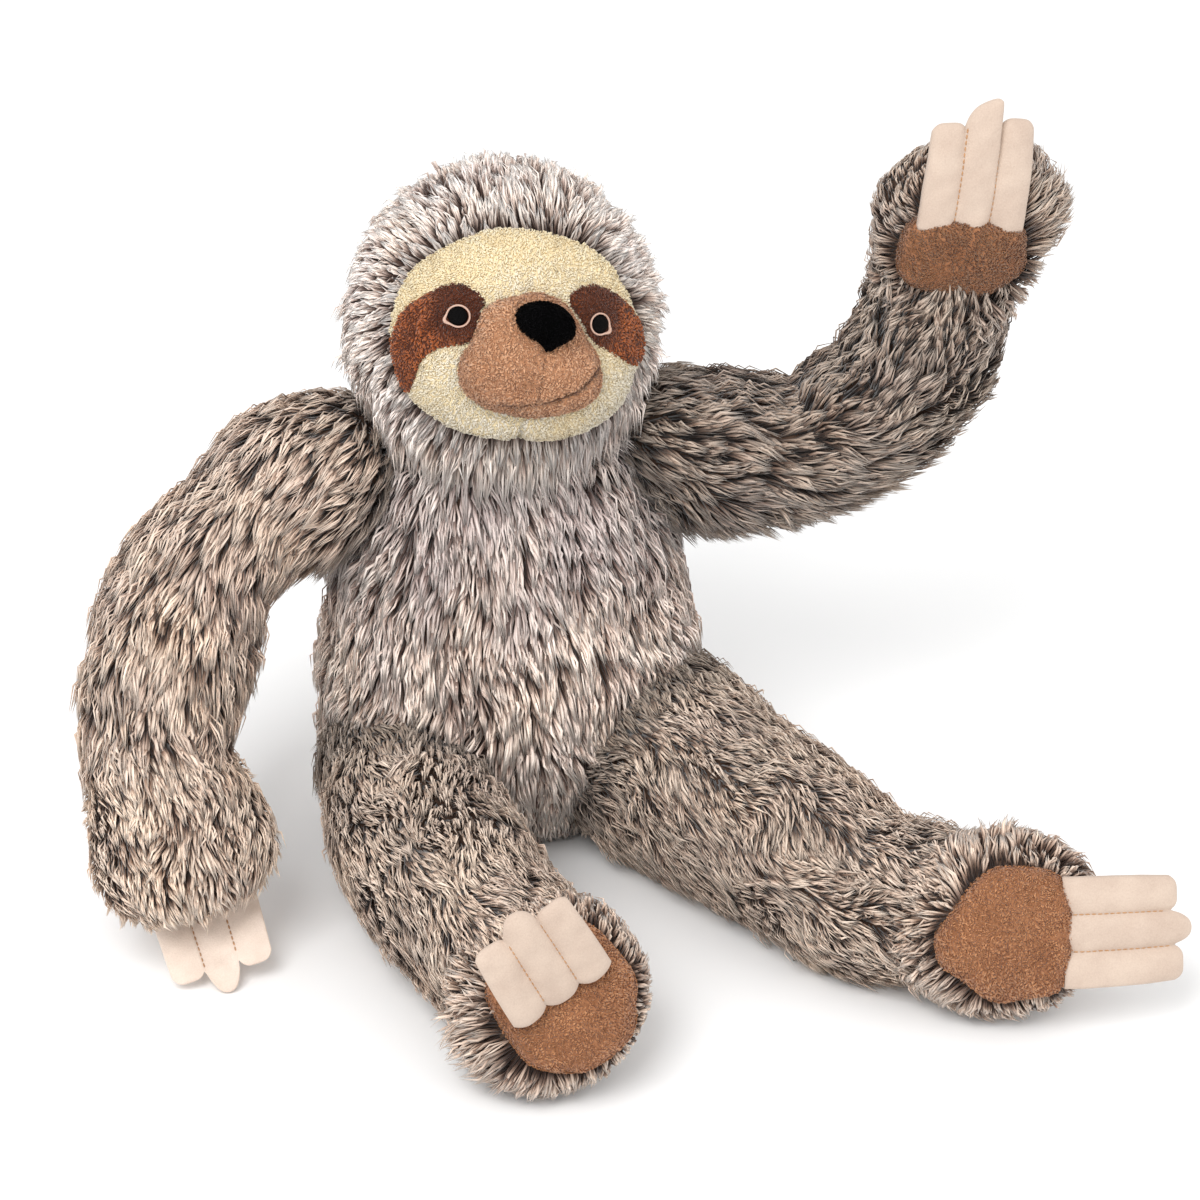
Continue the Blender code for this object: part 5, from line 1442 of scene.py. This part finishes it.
# %% Nose
nose_form = bulb_form(NOSE, 0.0985, 0.074, -3.0 * MM, 0.62)
nose = closed_skin("nose_cover", nose_form, 72, 48, cloths["nose"])
dress(nose, "nose_plush", "nose")
pile = lay_pile("nose_cover_pile", nose_form, piles["nose"], 331, away_from((2, 8)),
                lambda root: on_face(root)[:, 2] < 0.0795, length=1.5 * MM, spacing=0.85 * MM, width=0.8 * MM)
attach("head", "nose_plush", nose, pile)

# %% Pads


def pad_form(paw, pad, height, egg=0.0):
    """A flattened dome: c + (a, b, c) d^p in the paw's own directions, squarer on the side of the claws, and
    narrower at the heel by the share egg, where it also leans to one side."""
    middle, half_length, half_width = pad

    def surface(u, v):
        way = on_ball(u, v)
        square = 0.93 - 0.36 * ease(way[..., :1] / 0.5)
        shaped = np.sign(way) * np.abs(way) ** np.concatenate((square, square, square * 0 + 0.85), -1)
        local = shaped * np.array((half_length, half_width, PAD_HALF))
        local = local * (1 + 0.022 * waves(way, 0.9, 3))[..., None]
        heel = ease(-local[..., 0] / half_length)
        sideways = -local[..., 1] * (1 - egg * heel) + EGG_LEAN * egg * half_width * heel
        return paw.at(middle + local[..., 0], sideways, height + local[..., 2])
    return surface


for number, (name, paw) in enumerate(PAWS.items()):
    hand = "hand" in name
    pad = PALM_PAD if hand else SOLE_PAD
    node = name.replace("hand", "palm_pad").replace("foot", "sole_pad")
    height = SURFACES[name][1] + PAD_RISE - PAD_HALF
    form = pad_form(paw, pad, height, EGGS.get(name, 0.0))
    cover = closed_skin(node + "_cover", form, 96, 60, cloths["pad"])
    dress(cover, "pad_plush", node)
    # The raised left hand's pad is darkened with painted shade; the right foot's pad is a little darker.
    level = {"left_hand": 0.52, "right_foot": 0.92}.get(name, 1.0)
    pile = lay_pile(node + "_cover_pile", form, piles["pad"], 341 + number,
                    lambda root, normal, onward, paw=paw: np.tile(paw.across, (len(root), 1)),
                    lambda root, paw=paw, height=height: paw.local(root)[:, 2] < height - PILE_DEPTH,
                    length=1.9 * MM, spacing=0.92 * MM, width=0.85 * MM, shade=level, warm=0.55)
    attach(name, "pad_plush", cover, pile)

# %% [markdown]
# ## Claws
# Two sheets of felt are quilted together with two seams and stuffed, which makes three channels with blunt
# tips, the middle one longest. Tan stitches show along the seams.

# %% Claws


def pillow(name, outer, inner, finish):
    """A closed mesh from two grids of points that face away from each other, joined round their borders."""
    rows, columns = outer.shape[:2]
    number = np.arange(rows * columns).reshape(rows, columns)
    a, b, c, d = number[:-1, :-1], number[:-1, 1:], number[1:, 1:], number[1:, :-1]
    front = np.stack((a, b, c, d), -1).reshape(-1, 4)
    behind = front[:, ::-1] + rows * columns
    rim = np.concatenate((number[0, :], number[1:, -1], number[-1, -2::-1], number[-2:0:-1, 0]))
    after = np.roll(rim, -1)
    wall = np.stack((after, rim, rim + rows * columns, after + rows * columns), -1)
    points = np.concatenate((outer.reshape(-1, 3), inner.reshape(-1, 3)))
    return new_piece(name, points, [front, behind, wall], finish)


CLAW_THICK, SEAM_THICK, CLAW_WIDE = 8.2 * MM, 3.0 * MM, 0.052

# How far the tips of the three channels slant.
SLANTS = {"left_hand": (0.03, 0.13, 0.0)}


def claw_grids(paw, surface, start, length, lift, fold, curl, shares, scallop, slants, crown, rows=46,
               columns=67):
    """Outer and inner sheet: thickness = seam + (full - seam) sin(pi w) edge, w across each channel."""
    fold = np.radians(fold)
    onward = paw.tip * np.cos(fold) + paw.face * np.sin(fold)
    outward = paw.face * np.cos(fold) - paw.tip * np.sin(fold)
    root = paw.at(start, 0.0, surface + SEAM_THICK / 2 + lift)
    spread = np.linspace(0, 1, rows)
    spread = 0.5 - 0.5 * np.cos(np.pi * spread) if scallop else np.sin(spread * np.pi / 2)
    along, sideways = np.meshgrid(spread, np.linspace(0, 1, columns), indexing="ij")
    channel = np.minimum((sideways * 3).astype(int), 2)
    within = sideways * 3 - channel
    aside = np.abs(2 * within - 1)
    corner = (1 - 0.07 * aside ** 4 - crown * (channel == 1) * aside ** 2
              + np.array(slants)[channel] * (within - 0.5))
    distance = along * length * np.array(shares)[channel] * corner
    distance = distance - scallop * (1 - along) * (1 - aside ** 2.5)
    edge = np.sqrt(np.maximum(1 - along ** 11, 0))
    if scallop:
        edge = edge * np.sqrt(np.maximum(1 - (1 - along) ** 14, 0))
    bulge = np.sin(np.pi * within) ** 0.62 * edge
    thick = SEAM_THICK * (0.15 + 0.85 * edge) + (CLAW_THICK - SEAM_THICK) * bulge
    place = (sideways - 0.5) * CLAW_WIDE * (1 - 0.06 * along ** 2)
    middle = (root + distance[..., None] * onward + place[..., None] * paw.across
              - (curl * along ** 2)[..., None] * outward)
    ripple = 0.35 * MM * waves(middle, 0.011, 21)
    outer = middle + outward * (thick / 2 + ripple)[..., None]
    inner = middle - outward * (thick / 2 - ripple)[..., None]
    return outer, inner, outward


def stitch_row(name, points, outward, finish):
    """Short rounded stitches along a line, each a small spindle of six faces round and four long."""
    ahead = unit(points[1:] - points[:-1])
    middle = (points[1:] + points[:-1]) / 2
    side = np.cross(outward, ahead)
    angle = 2 * np.pi * np.arange(6) / 6
    half_length, thick = 1.25 * MM, 0.50 * MM
    ring = (side[:, None] * np.cos(angle)[:, None] + outward * np.sin(angle)[:, None])
    rows = [middle[:, None] + ahead[:, None] * half_length * along + ring * thick * wide
            for along, wide in ((-0.6, 0.8), (0.0, 1.0), (0.6, 0.8))]
    ends = [middle[:, None] - ahead[:, None] * half_length, middle[:, None] + ahead[:, None] * half_length]
    points = np.concatenate((*rows, *ends), 1)
    number = np.arange(6)
    after = (number + 1) % 6
    quads = np.concatenate([np.stack((row * 6 + number, row * 6 + number + 6, row * 6 + after + 6,
                                      row * 6 + after), 1) for row in (0, 1)])
    caps = np.concatenate((np.stack((number, after, number * 0 + 18), 1),
                           np.stack((12 + after, 12 + number, number * 0 + 19), 1)))
    index = np.arange(len(middle))[:, None, None] * 20
    faces = [(index + quads).reshape(-1, 4), (index + caps).reshape(-1, 3)]
    return new_piece(name, points.reshape(-1, 3), faces, finish)


MIDDLE_CROWN, STITCH_STEP = 0.09, 2.9 * MM
for name, paw in PAWS.items():
    outer, inner, outward = claw_grids(paw, SURFACES[name][0], *CLAWS[name], SLANTS.get(name, (0.0, 0.0, 0.0)),
                                       0.0 if name in SLANTS else MIDDLE_CROWN)
    # The right hand's claws take the brighter felt, which is painted light.
    felt = cloths["painted_light_claw" if name == "right_hand" else "claw"]
    item = pillow(name + "_claws_cover", outer, inner, felt)
    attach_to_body(item, name)
    dress(item, "claw_felt", name + "_claws")
    lowest = min(outer[..., 2].min(), inner[..., 2].min())
    print(name, "claws reach down to", round(float(lowest) / MM, 1), "mm")
    for number, column in enumerate((22, 44)):
        for face, grid, way in (("outer", outer, outward), ("inner", inner, -outward)):
            line = grid[:, column] + way * 0.1 * MM
            length = np.append(0.0, np.cumsum(np.linalg.norm(np.diff(line, axis=0), axis=1)))
            places = np.arange(0.004, length[-1] - 0.002, STITCH_STEP)
            dots = np.stack([np.interp(places, length, values) for values in line.T], 1)
            row = stitch_row(f"{name}_claw_seam_{number}_{face}", dots, way, cloths["stitch"])
            attach(name, "claw_felt", row)

# %% Mouth thread


def open_thread(name, path, radius, sides, finish):
    """A thread along an open path: rings of points with a rounded point at both ends."""
    ahead = unit(np.gradient(path, axis=0))
    side = unit(np.cross(ahead, FACE[2]))
    up = np.cross(ahead, side)
    angle = 2 * np.pi * np.arange(sides) / sides
    rings = path[:, None] + radius * (side[:, None] * np.cos(angle)[:, None]
                                      + up[:, None] * np.sin(angle)[:, None])
    points = np.concatenate((rings.reshape(-1, 3), path[:1] - ahead[:1] * radius,
                             path[-1:] + ahead[-1:] * radius))
    return new_piece(name, points, tube_faces(len(path), sides), finish)


grid_u, grid_v = np.meshgrid(np.arange(720) / 720, 0.5 + 0.5 * (np.arange(400) + 0.5) / 400)
front_grid = on_face(muzzle_form(grid_u, grid_v)).reshape(-1, 3)
smile = np.stack([np.interp(np.linspace(0, 1, 60), np.linspace(0, 1, len(SMILE)), values)
                  for values in SMILE.T], 1)
gaps = ((front_grid[None, :, :2] - smile[:, None]) ** 2).sum(-1)
out = front_grid[gaps.argmin(1), 2]
out = np.convolve(np.concatenate((out[:1].repeat(4), out, out[-1:].repeat(4))), np.full(9, 1 / 9), "valid")
mouth = open_thread("mouth_thread", HEAD + np.column_stack((smile, out + 0.2 * MM)) @ FACE, 0.45 * MM, 8,
                    cloths["crease"])
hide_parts("mouth_stitching")
attach("head", "mouth_thread", mouth)

# %% Sizes and finish
bpy.context.view_layer.update()
print("locks laid:", sum(LOCKS_LAID), "- most in one piece:", max(LOCKS_LAID))
